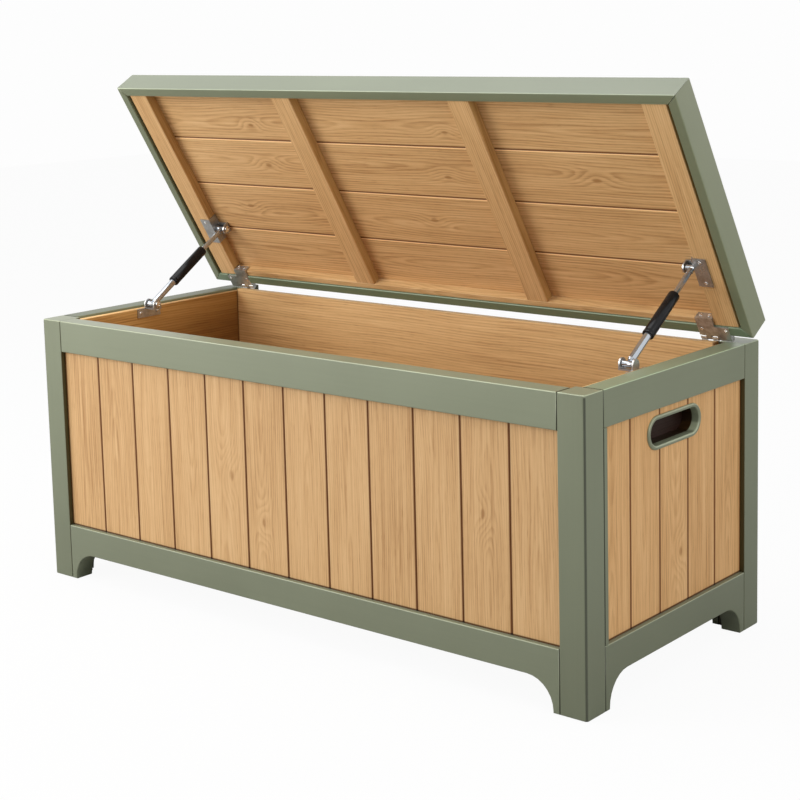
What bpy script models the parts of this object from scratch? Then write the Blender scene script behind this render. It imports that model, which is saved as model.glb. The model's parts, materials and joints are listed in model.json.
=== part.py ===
"""A timber garden storage chest with a hinged lid, held open by two telescopic struts.

The origin is on the ground, in the middle of the chest's footprint. +X runs to the right as
seen from the front, +Y runs to the back and +Z up. All sizes are in metres. The lid is
modelled open, as it stands on its struts.
"""
import math

import bmesh
import bpy
from mathutils import Matrix, Vector

for old in list(bpy.data.objects):
    bpy.data.objects.remove(old, do_unlink=True)

# Body
WIDTH = 1.240
DEPTH = 0.530
HEIGHT = 0.500
POST = 0.050
POST_CORNER_RADIUS = 0.005
GAP = 0.0003
PAINTED_EASE = 0.002
OAK_EASE = 0.001

# Rails
RAIL_THICKNESS = 0.038
TOP_RAIL_HEIGHT = 0.059
BACK_RAIL_DROP = 0.020
BOTTOM_RAIL_HEIGHT = 0.052
ARCH_HEIGHT = 0.052
ARCH_RADIUS = 0.049
FOOT_REACH = 0.063

# Slatted walls
FRONT_SLATS = 12
END_SLATS = 5
SLAT_THICKNESS = 0.012
SLAT_RECESS = 0.009
SLAT_CHAMFER = 0.0013
GROOVE_DEPTH = 0.008
TONGUE_REACH = 0.004
TONGUE_THICKNESS = 0.004
END_STILE_WIDTH = 0.010
END_STILE_EASE = 0.001

# Lining
LINER_THICKNESS = 0.012
BACK_LINER_THICKNESS = 0.016
LINER_DROP = 0.0045
BACK_LINER_DROP = 0.0003
FLOOR_THICKNESS = 0.012

# Finger slots in the ends
SLOT_LENGTH = 0.147
SLOT_HEIGHT = 0.041
SLOT_DROP = 0.099
TRIM_FLANGE = 0.0085
TRIM_STAND = 0.004
TRIM_WALL = 0.003
TRIM_ROUND = 0.0015

# Lid
LID_SIDE_OVERHANG = 0.019
LID_FRONT_OVERHANG = 0.011
LID_REAR_SETBACK = 0.057
LID_HEIGHT = 0.050
LID_LIFT = 0.001
LID_RAIL_WIDTH = 0.0185
LID_BOARDS = 4
BOARD_THICKNESS = 0.024
BOARD_SINK = 0.003
BATTEN_WIDTH = 0.045
BATTEN_SINK = 0.003
BATTEN_INSET = 0.005
CLEAT_WIDTH = 0.012
LID_BAYS = 3
OPEN_ANGLE = math.radians(59)

# Hinges
HINGE_SETBACK = 0.010
HINGE_RISE = 0.005
HINGE_INSET = 0.024
HINGE_LENGTH = 0.060
KNUCKLE_RADIUS = 0.005
KNUCKLE_LENGTH = 0.011
PIN_RADIUS = 0.002
LEAF = 0.0025
LEAF_FOOT = 0.036
LEAF_FOLD = 0.015
HINGE_SIDE_CLEARANCE = 0.001

# Struts
STRUT_FOOT_REACH = 0.263
STRUT_FOOT_RISE = 0.003
STRUT_HEAD_REACH = 0.133
STRUT_HEAD_DEPTH = 0.012
EYE_RADIUS = 0.0058
EYE_HALF_LENGTH = 0.011
STRUT_PIN_RADIUS = 0.003
PIN_HEAD_RADIUS = 0.0062
PIN_HEAD = 0.0015
TUBE_RADIUS = 0.0102
STAGE_RADIUS = 0.0067
ROD_RADIUS = 0.005
NECK_RADIUS = 0.006
TUBE_ROUND = 0.0015
TELESCOPE_OVERLAP = 0.015
END_FITTING = 0.0105
TUBE_CAP = 0.004
BRACKET_PLATE = 0.0025
BRACKET_LENGTH = 0.058
BRACKET_HEIGHT = 0.018
FLANGE_REACH = 0.024
EAR_RADIUS = 0.0098
WEB_CLEARANCE = 0.0012

# Screws
SCREW_RADIUS = 0.003
SCREW_HEAD = 0.0008
SCREW_EDGE = 0.0075

# Fineness of round shapes
EASE_STEPS = 2
CORNER_STEPS = 3
ARCH_STEPS = 7
SLOT_STEPS = 8
ROUND_STEPS = 16
SCREW_STEPS = 10
SMOOTH_ANGLE = math.radians(35)
OVERCUT = 0.002

# Finishes: colour, roughness and metallic value
SAGE_PAINT = ((0.235, 0.262, 0.195), 0.5, 0.0)
OAK = ((0.68, 0.44, 0.23), 0.6, 0.0)
SATIN_STEEL = ((0.50, 0.47, 0.44), 0.35, 1.0)
CHROME = ((0.75, 0.75, 0.76), 0.15, 1.0)
BLACK_PAINT = ((0.012, 0.012, 0.013), 0.35, 0.0)

# Sizes worked out from the ones above
BOTTOM_RAIL_TOP = ARCH_HEIGHT + BOTTOM_RAIL_HEIGHT
BACK_RAIL_THICKNESS = POST
SLAT_BACK = SLAT_RECESS + SLAT_THICKNESS
FLOOR_TOP = BOTTOM_RAIL_TOP + GAP + FLOOR_THICKNESS
LINER_TOP = HEIGHT - LINER_DROP
LINING_FACE = RAIL_THICKNESS + LINER_THICKNESS
LID_DEPTH = DEPTH + LID_FRONT_OVERHANG - LID_REAR_SETBACK
HINGE_Y = DEPTH / 2 - LID_REAR_SETBACK + HINGE_SETBACK
HINGE_Z = HEIGHT + LID_LIFT + HINGE_RISE
LID_HALF_WIDTH = WIDTH / 2 + LID_SIDE_OVERHANG
BOARD_UNDERSIDE = LID_HEIGHT - BOARD_SINK - BOARD_THICKNESS


# Outlines: lists of points in a plane, counter-clockwise

def rectangle(x_low, x_high, y_low, y_high):
    corners = [(x_low, y_low), (x_high, y_low), (x_high, y_high), (x_low, y_high)]
    return [Vector(corner) for corner in corners]


def arc(centre, radius, start, end, steps):
    points = []
    for step in range(steps + 1):
        angle = start + (end - start) * step / steps
        points.append(centre + radius * Vector((math.cos(angle), math.sin(angle))))
    return points


def rounded_outline(corners, steps=CORNER_STEPS):
    """A closed outline from (x, y, radius) corners, each round corner as an arc."""
    outline = []
    for index, (x, y, radius) in enumerate(corners):
        corner = Vector((x, y))
        if radius == 0:
            outline.append(corner)
            continue
        before = (Vector(corners[index - 1][:2]) - corner).normalized()
        after = (Vector(corners[(index + 1) % len(corners)][:2]) - corner).normalized()
        half = before.angle(after) / 2
        tangent = radius / math.tan(half)
        centre = corner + (before + after).normalized() * radius / math.sin(half)
        first = corner + before * tangent - centre
        last = corner + after * tangent - centre
        start = math.atan2(first.y, first.x)
        turn = math.atan2(first.x * last.y - first.y * last.x, first.dot(last))
        outline.extend(arc(centre, radius, start, start + turn, steps))
    return outline


def circle(x, y, radius, steps=ROUND_STEPS):
    return arc(Vector((x, y)), radius, 0, 2 * math.pi, steps)[:-1]


def stadium(length, height):
    """A slot with round ends, centred on nought."""
    radius = height / 2
    reach = Vector((length / 2 - radius, 0))
    right = arc(reach, radius, -math.pi / 2, math.pi / 2, SLOT_STEPS)
    left = arc(-reach, radius, math.pi / 2, 3 * math.pi / 2, SLOT_STEPS)
    return right + left


def inset_outline(outline, distance):
    """Move every side of an outline inwards by the same distance."""
    moved = []
    for index, point in enumerate(outline):
        before = (point - outline[index - 1]).normalized()
        after = (outline[(index + 1) % len(outline)] - point).normalized()
        normal_before = Vector((-before.y, before.x))
        normal_after = Vector((-after.y, after.x))
        mitre = (normal_before + normal_after) / (1 + normal_before.dot(normal_after))
        moved.append(point + mitre * distance)
    return moved


# Solids

def place(a, b, t, plane):
    """A point from its two coordinates in a plane and its distance along the plane's normal."""
    if plane == "XY":
        return Vector((a, b, t))
    if plane == "XZ":
        return Vector((a, t, b))
    return Vector((t, a, b))


def add_loops(mesh, loops, closed=False):
    """Bridge loops of points in order. Open stacks get a cap at each end."""
    rings = [[mesh.verts.new(point) for point in loop] for loop in loops]
    pairs = list(zip(rings, rings[1:]))
    if closed:
        pairs.append((rings[-1], rings[0]))
    for lower, upper in pairs:
        for index, corner in enumerate(lower):
            following = (index + 1) % len(lower)
            mesh.faces.new((corner, lower[following], upper[following], upper[index]))
    if not closed:
        mesh.faces.new(rings[0])
        mesh.faces.new(rings[-1])


def add_prism(mesh, outline, start, end, plane="XY", ease=0.0):
    """Extrude an outline from start to end along its plane's normal, with rounded rims."""
    levels = [(start, 0.0), (end, 0.0)]
    if ease > 0:
        turns = [math.pi / 2 * step / EASE_STEPS for step in range(EASE_STEPS + 1)]
        lower = [(start + ease * (1 - math.cos(a)), ease * (1 - math.sin(a))) for a in turns]
        upper = [(start + end - t, inset) for t, inset in reversed(lower)]
        levels = lower + upper
    loops = []
    for t, inset in levels:
        loops.append([place(p.x, p.y, t, plane) for p in inset_outline(outline, inset)])
    add_loops(mesh, loops)


def add_box(mesh, low, high):
    add_prism(mesh, rectangle(low[0], high[0], low[1], high[1]), low[2], high[2])


def add_turned(mesh, profile, axis="Z", centre=(0, 0, 0), closed=False, steps=ROUND_STEPS):
    """Turn a profile of (radius, distance) points about an axis through a centre."""
    plane = {"Z": "XY", "X": "YZ", "Y": "XZ"}[axis]
    loops = []
    for radius, along in profile:
        loops.append([Vector(centre) + place(p.x, p.y, along, plane) for p in circle(0, 0, radius, steps)])
    add_loops(mesh, loops, closed)


def shape(name, build, *args):
    """A hidden or visible object whose mesh is filled by a function."""
    mesh = bmesh.new()
    build(mesh, *args)
    bmesh.ops.recalc_face_normals(mesh, faces=mesh.faces)
    data = bpy.data.meshes.new(name)
    mesh.to_mesh(data)
    mesh.free()
    thing = bpy.data.objects.new(name, data)
    bpy.context.collection.objects.link(thing)
    return thing


def finish(thing, look):
    """Give a piece its own material from a colour, a roughness and a metallic value."""
    colour, roughness, metallic = look
    material = bpy.data.materials.new(thing.name + "_finish")
    material.use_nodes = True
    shader = material.node_tree.nodes["Principled BSDF"]
    shader.inputs["Base Color"].default_value = (*colour, 1.0)
    shader.inputs["Roughness"].default_value = roughness
    shader.inputs["Metallic"].default_value = metallic
    thing.data.materials.append(material)
    thing.data.shade_smooth()
    thing.data.set_sharp_from_angle(angle=SMOOTH_ANGLE)
    return thing


def combine(thing, tool, operation="DIFFERENCE"):
    """Cut a hidden tool out of a piece, or join it on with UNION."""
    tool.hide_render = True
    tool.display_type = "WIRE"
    tool.parent = thing
    modifier = thing.modifiers.new(tool.name, "BOOLEAN")
    modifier.operation = operation
    modifier.solver = "EXACT"
    modifier.object = tool
    return thing


# Walls: each is drawn along X with its outer face at Y = 0 and its inside towards +Y

WALLS = {
    "front": (WIDTH, (0, -DEPTH / 2, 0), 0),
    "right": (DEPTH, (WIDTH / 2, 0, 0), math.pi / 2),
    "back": (WIDTH, (0, DEPTH / 2, 0), math.pi),
    "left": (DEPTH, (-WIDTH / 2, 0, 0), -math.pi / 2),
}


def stand_on_wall(thing, wall):
    thing.location = WALLS[wall][1]
    thing.rotation_euler.z = WALLS[wall][2]
    return thing


def between_posts(wall):
    """Half the free length between a wall's posts."""
    return WALLS[wall][0] / 2 - POST - GAP


def rail_thickness(wall):
    return BACK_RAIL_THICKNESS if wall == "back" else RAIL_THICKNESS


def top_rail_span(wall):
    """The heights of a top rail's lower and upper faces."""
    top = HEIGHT - (BACK_RAIL_DROP if wall == "back" else 0)
    return top - TOP_RAIL_HEIGHT, top


def panel_groove(name, half_length, low, high):
    """The tool for the groove that holds a wall's slats."""
    outline = rectangle(-half_length, half_length, SLAT_RECESS - GAP, SLAT_BACK + GAP)
    return shape(name, add_prism, outline, low, high)


def top_rail(wall):
    half = between_posts(wall)
    low, high = top_rail_span(wall)
    outline = rectangle(-half, half, low, high)
    rail = shape(wall + "_top_rail", add_prism, outline, 0, rail_thickness(wall), "XZ", PAINTED_EASE)
    groove = panel_groove(rail.name + "_groove", half + OVERCUT, low - OVERCUT, low + GROOVE_DEPTH)
    combine(rail, groove)
    stand_on_wall(rail, wall)
    finish(rail, SAGE_PAINT)


def bottom_rail(wall):
    """A rail with an arched underside that ends in a bracket foot beside each post."""
    half = between_posts(wall)
    foot = WALLS[wall][0] / 2 - FOOT_REACH
    corners = [
        (-half, 0, 0),
        (-foot, 0, 0),
        (-foot, ARCH_HEIGHT, ARCH_RADIUS),
        (foot, ARCH_HEIGHT, ARCH_RADIUS),
        (foot, 0, 0),
        (half, 0, 0),
        (half, BOTTOM_RAIL_TOP, 0),
        (-half, BOTTOM_RAIL_TOP, 0),
    ]
    outline = rounded_outline(corners, ARCH_STEPS)
    rail = shape(wall + "_bottom_rail", add_prism, outline, 0, rail_thickness(wall), "XZ", PAINTED_EASE)
    low = BOTTOM_RAIL_TOP - GROOVE_DEPTH
    groove = panel_groove(rail.name + "_groove", half + OVERCUT, low, BOTTOM_RAIL_TOP + OVERCUT)
    combine(rail, groove)
    stand_on_wall(rail, wall)
    finish(rail, SAGE_PAINT)


def add_post_grooves(mesh):
    """The two stopped grooves of a post whose outer corner is at -X, -Y."""
    outer = -POST / 2
    near = outer + SLAT_RECESS - GAP
    far = outer + SLAT_BACK + GAP
    low = BOTTOM_RAIL_TOP - GROOVE_DEPTH
    high = HEIGHT - TOP_RAIL_HEIGHT + GROOVE_DEPTH
    inner = POST / 2
    add_box(mesh, (inner - GROOVE_DEPTH, near, low), (inner + OVERCUT, far, high))
    add_box(mesh, (near, inner - GROOVE_DEPTH, low), (far, inner + OVERCUT, high))


def corner_posts():
    half = POST / 2
    corners = [
        (-half, -half, POST_CORNER_RADIUS),
        (half, -half, PAINTED_EASE),
        (half, half, PAINTED_EASE),
        (-half, half, PAINTED_EASE),
    ]
    spots = {
        "front_left": (-1, -1, 0),
        "front_right": (1, -1, math.pi / 2),
        "back_right": (1, 1, math.pi),
        "back_left": (-1, 1, -math.pi / 2),
    }
    for spot, (side, end, turn) in spots.items():
        outline = rounded_outline(corners)
        post = shape(spot + "_post", add_prism, outline, 0, HEIGHT, "XY", PAINTED_EASE)
        combine(post, shape(post.name + "_grooves", add_post_grooves))
        post.location = (side * (WIDTH / 2 - half), end * (DEPTH / 2 - half), 0)
        post.rotation_euler.z = turn
        finish(post, SAGE_PAINT)


# Slats

def slat_outline(x_low, x_high, y_low, y_high, tongue, groove, chamfer):
    """A board's cross-section, with a tongue on its high side and a groove on its low side."""
    middle = (y_low + y_high) / 2
    half_tongue = TONGUE_THICKNESS / 2
    half_groove = half_tongue + GAP
    groove_end = x_low + TONGUE_REACH + GAP
    points = [(x_low + chamfer, y_low), (x_high - chamfer, y_low), (x_high, y_low + chamfer)]
    if tongue:
        points += [
            (x_high, middle - half_tongue),
            (x_high + TONGUE_REACH, middle - half_tongue),
            (x_high + TONGUE_REACH, middle + half_tongue),
            (x_high, middle + half_tongue),
        ]
    points += [(x_high, y_high - chamfer), (x_high - chamfer, y_high)]
    points += [(x_low + chamfer, y_high), (x_low, y_high - chamfer)]
    if groove:
        points += [
            (x_low, middle + half_groove),
            (groove_end, middle + half_groove),
            (groove_end, middle - half_groove),
            (x_low, middle - half_groove),
        ]
    points.append((x_low, y_low + chamfer))
    return [Vector(point) for point in points]


def grooved_outline(x_low, x_high, joints, y_low, y_high, chamfer):
    """The cross-section of boards joined into one panel, with a V along each joint."""
    lower = [(x_low, y_low)]
    for joint in joints:
        lower += [(joint - chamfer, y_low), (joint, y_low + chamfer), (joint + chamfer, y_low)]
    lower.append((x_high, y_low))
    upper = [(x, y_low + y_high - y) for x, y in reversed(lower)]
    return [Vector(point) for point in lower + upper]


def slat_heights(wall):
    low = BOTTOM_RAIL_TOP - GROOVE_DEPTH + GAP
    high = top_rail_span(wall)[0] + GROOVE_DEPTH - GAP
    return low, high


def joint_places(wall, count):
    """Where the joints between a wall's equal slats lie."""
    opening = WALLS[wall][0] - 2 * POST
    return [opening * (index / count - 0.5) for index in range(1, count)]


def front_slats():
    low, high = slat_heights("front")
    joints = joint_places("front", FRONT_SLATS)
    reach = between_posts("front") + GROOVE_DEPTH
    edges = [-reach - GAP / 2] + joints + [reach + GAP / 2]
    for index in range(FRONT_SLATS):
        outline = slat_outline(
            edges[index] + GAP / 2,
            edges[index + 1] - GAP / 2,
            SLAT_RECESS,
            SLAT_BACK,
            tongue=index < FRONT_SLATS - 1,
            groove=index > 0,
            chamfer=SLAT_CHAMFER,
        )
        slat = shape("front_slat_%02d" % (index + 1), add_prism, outline, low, high)
        stand_on_wall(slat, "front")
        finish(slat, OAK)


def joined_slats(wall, count, name):
    """A wall's slats as one panel."""
    low, high = slat_heights(wall)
    reach = between_posts(wall) + GROOVE_DEPTH
    joints = joint_places(wall, count)
    outline = grooved_outline(-reach, reach, joints, SLAT_RECESS, SLAT_BACK, SLAT_CHAMFER)
    panel = shape(name, add_prism, outline, low, high)
    stand_on_wall(panel, wall)
    return finish(panel, OAK)


def slot_outline(outset):
    """The finger slot's outline, at a distance outside the trim's inner edge, in wall heights."""
    outline = stadium(SLOT_LENGTH + 2 * outset, SLOT_HEIGHT + 2 * outset)
    return [point + Vector((0, HEIGHT - SLOT_DROP)) for point in outline]


def end_panels():
    for wall in ("left", "right"):
        panel = joined_slats(wall, END_SLATS, wall + "_end_panel")
        hole = slot_outline(TRIM_WALL + GAP)
        near = SLAT_RECESS - OVERCUT
        far = SLAT_BACK + OVERCUT
        combine(panel, shape(panel.name + "_slot", add_prism, hole, near, far, "XZ"))


def end_stiles():
    """A painted strip over each end's slats, beside the front post and flush with the rails."""
    for wall, front in (("left", 1), ("right", -1)):
        half = between_posts(wall)
        x_low, x_high = sorted((front * half, front * (half - END_STILE_WIDTH)))
        low = BOTTOM_RAIL_TOP + GAP
        high = top_rail_span(wall)[0] - GAP
        outline = rectangle(x_low, x_high, low, high)
        back = SLAT_RECESS - GAP
        stile = shape(wall + "_end_stile", add_prism, outline, 0, back, "XZ", END_STILE_EASE)
        stand_on_wall(stile, wall)
        finish(stile, SAGE_PAINT)


def add_handle_trim(mesh):
    """A ring round the slot: a flange on the slats and a wall through them to the liner."""
    face = SLAT_RECESS - GAP
    front = SLAT_RECESS - TRIM_STAND
    back = RAIL_THICKNESS - GAP
    section = [
        (0, front + TRIM_ROUND),
        (TRIM_ROUND, front),
        (TRIM_FLANGE - TRIM_ROUND, front),
        (TRIM_FLANGE, front + TRIM_ROUND),
        (TRIM_FLANGE, face),
        (TRIM_WALL, face),
        (TRIM_WALL, back),
        (0, back),
    ]
    loops = [[place(p.x, p.y, t, "XZ") for p in slot_outline(outset)] for outset, t in section]
    add_loops(mesh, loops, closed=True)


def handle_trims():
    for wall in ("left", "right"):
        trim = shape(wall + "_handle_trim", add_handle_trim)
        stand_on_wall(trim, wall)
        finish(trim, SAGE_PAINT)


# Lining

def liner(wall, half_length, face, thickness, top=LINER_TOP):
    """A lining board whose inner face is at the given distance from the wall's outer face."""
    outline = rectangle(-half_length, half_length, FLOOR_TOP + GAP, top)
    board = shape(wall + "_liner", add_prism, outline, face - thickness + GAP, face, "XZ", OAK_EASE)
    stand_on_wall(board, wall)
    finish(board, OAK)


def lining():
    liner("front", between_posts("front"), LINING_FACE, LINER_THICKNESS)
    liner("left", between_posts("left"), LINING_FACE, LINER_THICKNESS)
    liner("right", between_posts("right"), LINING_FACE, LINER_THICKNESS)
    back_half = WIDTH / 2 - LINING_FACE - GAP
    back_face = BACK_RAIL_THICKNESS + BACK_LINER_THICKNESS
    liner("back", back_half, back_face, BACK_LINER_THICKNESS, HEIGHT - BACK_LINER_DROP)


def floor_panel():
    """The floor lies on the bottom rails, behind the slats, and is notched round the posts."""
    x_wide = WIDTH / 2 - SLAT_BACK - GAP
    y_wide = DEPTH / 2 - SLAT_BACK - GAP
    x_notch = WIDTH / 2 - POST - GAP
    y_notch = DEPTH / 2 - POST - GAP
    quarter = [(x_wide, y_notch), (x_notch, y_notch), (x_notch, y_wide)]
    outline = quarter
    outline = outline + [(-x, y) for x, y in reversed(quarter)]
    outline = outline + [(-x, -y) for x, y in quarter]
    outline = outline + [(x, -y) for x, y in reversed(quarter)]
    points = [Vector(point) for point in outline]
    finish(shape("floor_panel", add_prism, points, BOTTOM_RAIL_TOP + GAP, FLOOR_TOP), OAK)


# Lid: drawn shut about the hinge axis, then swung open by its pivot.
# reach is the distance forward from the lid's rear edge, rise the height above its underside.

def make_pivot(name, location, parent=None):
    pivot = bpy.data.objects.new(name, None)
    bpy.context.collection.objects.link(pivot)
    pivot.location = location
    pivot.parent = parent
    return pivot


def lid_y(reach):
    return -HINGE_SETBACK - reach


def lid_z(rise):
    return rise - HINGE_RISE


def on_lid(thing, look):
    thing.parent = LID_PIVOT
    return finish(thing, look)


def lid_rails():
    """Four rails, mitred at the corners."""
    x_out = LID_HALF_WIDTH
    x_in = x_out - LID_RAIL_WIDTH
    y_back = lid_y(0)
    y_front = lid_y(LID_DEPTH)
    outer = [(-x_out, y_front), (x_out, y_front), (x_out, y_back), (-x_out, y_back)]
    inner = [
        (-x_in, y_front + LID_RAIL_WIDTH),
        (x_in, y_front + LID_RAIL_WIDTH),
        (x_in, y_back - LID_RAIL_WIDTH),
        (-x_in, y_back - LID_RAIL_WIDTH),
    ]
    for index, side in enumerate(("front", "right", "back", "left")):
        following = (index + 1) % 4
        corners = [outer[index], outer[following], inner[following], inner[index]]
        outline = inset_outline([Vector(corner) for corner in corners], GAP / 2)
        low = lid_z(0)
        rail = shape("lid_%s_rail" % side, add_prism, outline, low, low + LID_HEIGHT, "XY", PAINTED_EASE)
        if side == "back":
            combine(rail, shape("lid_back_rail_recesses", add_leaf_recesses))
        on_lid(rail, SAGE_PAINT)


def lid_panel():
    """The lid's boards, side by side from back to front, joined into one panel."""
    half = LID_HALF_WIDTH - LID_RAIL_WIDTH - GAP
    near = LID_RAIL_WIDTH + GAP
    far = LID_DEPTH - LID_RAIL_WIDTH - GAP
    joints = [far - (far - near) * index / LID_BOARDS for index in range(1, LID_BOARDS)]
    low = lid_z(BOARD_UNDERSIDE)
    high = lid_z(LID_HEIGHT - BOARD_SINK)
    joint_rows = [lid_y(joint) for joint in joints]
    outline = grooved_outline(lid_y(far), lid_y(near), joint_rows, low, high, SLAT_CHAMFER)
    on_lid(shape("lid_panel", add_prism, outline, -half, half, "YZ"), OAK)


def add_lid_strip(mesh, x_low, x_high, reach_low, reach_high):
    """A strip of timber against the underside of the lid's boards."""
    outline = rectangle(x_low, x_high, lid_y(reach_high), lid_y(reach_low))
    add_prism(mesh, outline, lid_z(BATTEN_SINK), lid_z(BOARD_UNDERSIDE - GAP), "XY", OAK_EASE)


def lid_battens():
    """Two battens at the ends, and two inside that stop at the cleat."""
    end_x = WIDTH / 2 - BATTEN_INSET - BATTEN_WIDTH / 2
    inner_x = WIDTH / (2 * LID_BAYS)
    near_end = LID_RAIL_WIDTH + GAP
    near_inner = near_end + CLEAT_WIDTH + GAP
    far = LID_DEPTH - LID_RAIL_WIDTH - GAP
    rows = [(-end_x, near_end), (-inner_x, near_inner), (inner_x, near_inner), (end_x, near_end)]
    for index, (x, near) in enumerate(rows):
        x_low = x - BATTEN_WIDTH / 2
        batten = shape("lid_batten_%d" % (index + 1), add_lid_strip, x_low, x_low + BATTEN_WIDTH, near, far)
        on_lid(batten, OAK)
    cleat_half = WIDTH / 2 - BATTEN_INSET - BATTEN_WIDTH - GAP
    cleat = shape("lid_cleat", add_lid_strip, -cleat_half, cleat_half, near_end, near_end + CLEAT_WIDTH)
    on_lid(cleat, OAK)


# Hinges: drawn for the right end about the hinge axis. x_out is nearest the chest's end.
# The narrow part of each leaf stays clear of the post and the end batten.

HINGE_X_OUT = WIDTH / 2 - HINGE_INSET
HINGE_X_IN = HINGE_X_OUT - HINGE_LENGTH
NARROW_X_OUT = WIDTH / 2 - LINING_FACE - HINGE_SIDE_CLEARANCE


def body_knuckles():
    """The two stretches of the axis that belong to the body leaf."""
    outer = (NARROW_X_OUT - KNUCKLE_LENGTH, NARROW_X_OUT)
    inner = (HINGE_X_IN, HINGE_X_IN + KNUCKLE_LENGTH)
    return inner, outer


def lid_knuckles():
    """The stretches between them and out to the end, which belong to the lid leaf."""
    inner, outer = body_knuckles()
    return (inner[1] + GAP, outer[0] - GAP), (outer[1] + GAP, HINGE_X_OUT)


def add_body_knuckles(mesh):
    for low, high in body_knuckles():
        add_turned(mesh, [(KNUCKLE_RADIUS, low), (KNUCKLE_RADIUS, high)], "X")


def add_hinge_pin(mesh):
    add_turned(mesh, [(PIN_RADIUS, HINGE_X_IN + KNUCKLE_LENGTH / 2), (PIN_RADIUS, HINGE_X_OUT)], "X")


def add_body_leaf(mesh):
    """A web down behind the liner and a foot back over the rail, as one bent strip."""
    rail_top = top_rail_span("back")[1] + GAP - HINGE_Z
    front = -LEAF / 2
    outline = [
        (front, rail_top),
        (front + LEAF_FOOT, rail_top),
        (front + LEAF_FOOT, rail_top + LEAF),
        (front + LEAF, rail_top + LEAF),
        (front + LEAF, 0),
        (front, 0),
    ]
    add_prism(mesh, [Vector(point) for point in outline], HINGE_X_IN, NARROW_X_OUT, "YZ")


def add_knuckle_notch(mesh):
    """Room in the web for the lid leaf's middle knuckle."""
    low, high = lid_knuckles()[0]
    room = KNUCKLE_RADIUS + LEAF
    add_box(mesh, (low - GAP, -room, -room), (high + GAP, room, room))


def add_leaf_screws(mesh, places, height):
    """Round screw heads on a leaf whose face points up."""
    for x, y in places:
        outline = circle(x, y, SCREW_RADIUS, SCREW_STEPS)
        add_prism(mesh, outline, height - SCREW_HEAD, height + SCREW_HEAD)


def add_foot_screws(mesh):
    face = top_rail_span("back")[1] + GAP - HINGE_Z + LEAF
    y = -LEAF / 2 + LEAF_FOOT - SCREW_EDGE
    quarter = (NARROW_X_OUT - HINGE_X_IN) / 4
    add_leaf_screws(mesh, [(HINGE_X_IN + quarter, y), (NARROW_X_OUT - quarter, y)], face)


def hinge_body_leaf(name):
    leaf = shape(name, add_body_leaf)
    combine(leaf, shape(name + "_notch", add_knuckle_notch))
    combine(leaf, shape(name + "_knuckles", add_body_knuckles), "UNION")
    combine(leaf, shape(name + "_pin", add_hinge_pin), "UNION")
    combine(leaf, shape(name + "_screws", add_foot_screws), "UNION")
    return leaf


def add_lid_leaf(mesh):
    """A plate under the lid's back rail."""
    clear = KNUCKLE_RADIUS + LEAF / 2
    low = lid_y(LID_RAIL_WIDTH - LEAF)
    add_box(mesh, (HINGE_X_IN, low, lid_z(0)), (HINGE_X_OUT, -clear, lid_z(LEAF)))


def add_leaf_tabs(mesh):
    """The tongues that run from the plate to the lid's knuckles."""
    for low, high in lid_knuckles():
        add_box(mesh, (low, -KNUCKLE_RADIUS - 2 * LEAF, lid_z(0)), (high, 0, lid_z(LEAF)))


def add_leaf_fold(mesh):
    """The narrow end of the leaf: across the cleat's face and folded over its edge."""
    start = lid_y(LID_RAIL_WIDTH - 2 * LEAF)
    edge = lid_y(LID_RAIL_WIDTH + GAP + CLEAT_WIDTH + GAP)
    outline = [
        (start, lid_z(0)),
        (start, lid_z(LEAF)),
        (edge, lid_z(LEAF)),
        (edge, lid_z(LEAF_FOLD)),
        (edge - LEAF, lid_z(LEAF_FOLD)),
        (edge - LEAF, lid_z(0)),
    ]
    add_prism(mesh, [Vector(point) for point in outline], HINGE_X_IN, NARROW_X_OUT, "YZ")


def add_lid_knuckles(mesh):
    for low, high in lid_knuckles():
        add_turned(mesh, [(KNUCKLE_RADIUS, low), (KNUCKLE_RADIUS, high)], "X")


def add_pin_bore(mesh):
    bore = PIN_RADIUS + GAP
    add_turned(mesh, [(bore, HINGE_X_IN - OVERCUT), (bore, HINGE_X_OUT + OVERCUT)], "X")


def add_lid_leaf_screws(mesh):
    """Two screws through the fold into the cleat's edge, drawn as heads that face forward."""
    y = lid_y(LID_RAIL_WIDTH + 2 * GAP + CLEAT_WIDTH) - LEAF
    quarter = (NARROW_X_OUT - HINGE_X_IN) / 4
    z = lid_z((LEAF + LEAF_FOLD) / 2)
    for x in (HINGE_X_IN + quarter, NARROW_X_OUT - quarter):
        add_prism(mesh, circle(x, z, SCREW_RADIUS, SCREW_STEPS), y - SCREW_HEAD, y + SCREW_HEAD, "XZ")


def hinge_lid_leaf(name):
    leaf = shape(name, add_lid_leaf)
    combine(leaf, shape(name + "_tabs", add_leaf_tabs), "UNION")
    combine(leaf, shape(name + "_fold", add_leaf_fold), "UNION")
    combine(leaf, shape(name + "_knuckles", add_lid_knuckles), "UNION")
    combine(leaf, shape(name + "_bore", add_pin_bore))
    combine(leaf, shape(name + "_screws", add_lid_leaf_screws), "UNION")
    return leaf


def add_leaf_recesses(mesh):
    """Where the two lid leaves are let into the underside of the lid's back rail."""
    for side in (-1, 1):
        low, high = sorted((side * (HINGE_X_IN - GAP), side * (HINGE_X_OUT + GAP)))
        near = lid_y(0) + OVERCUT
        far = lid_y(LID_RAIL_WIDTH) - OVERCUT
        add_box(mesh, (low, far, lid_z(0) - OVERCUT), (high, near, lid_z(LEAF) + GAP))


def mirror_in_x(thing):
    """Turn a right-hand piece and its tools into left-hand ones."""
    for piece in [thing] + list(thing.children):
        piece.data.transform(Matrix.Scale(-1, 4, Vector((1, 0, 0))))
        piece.data.flip_normals()


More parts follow.
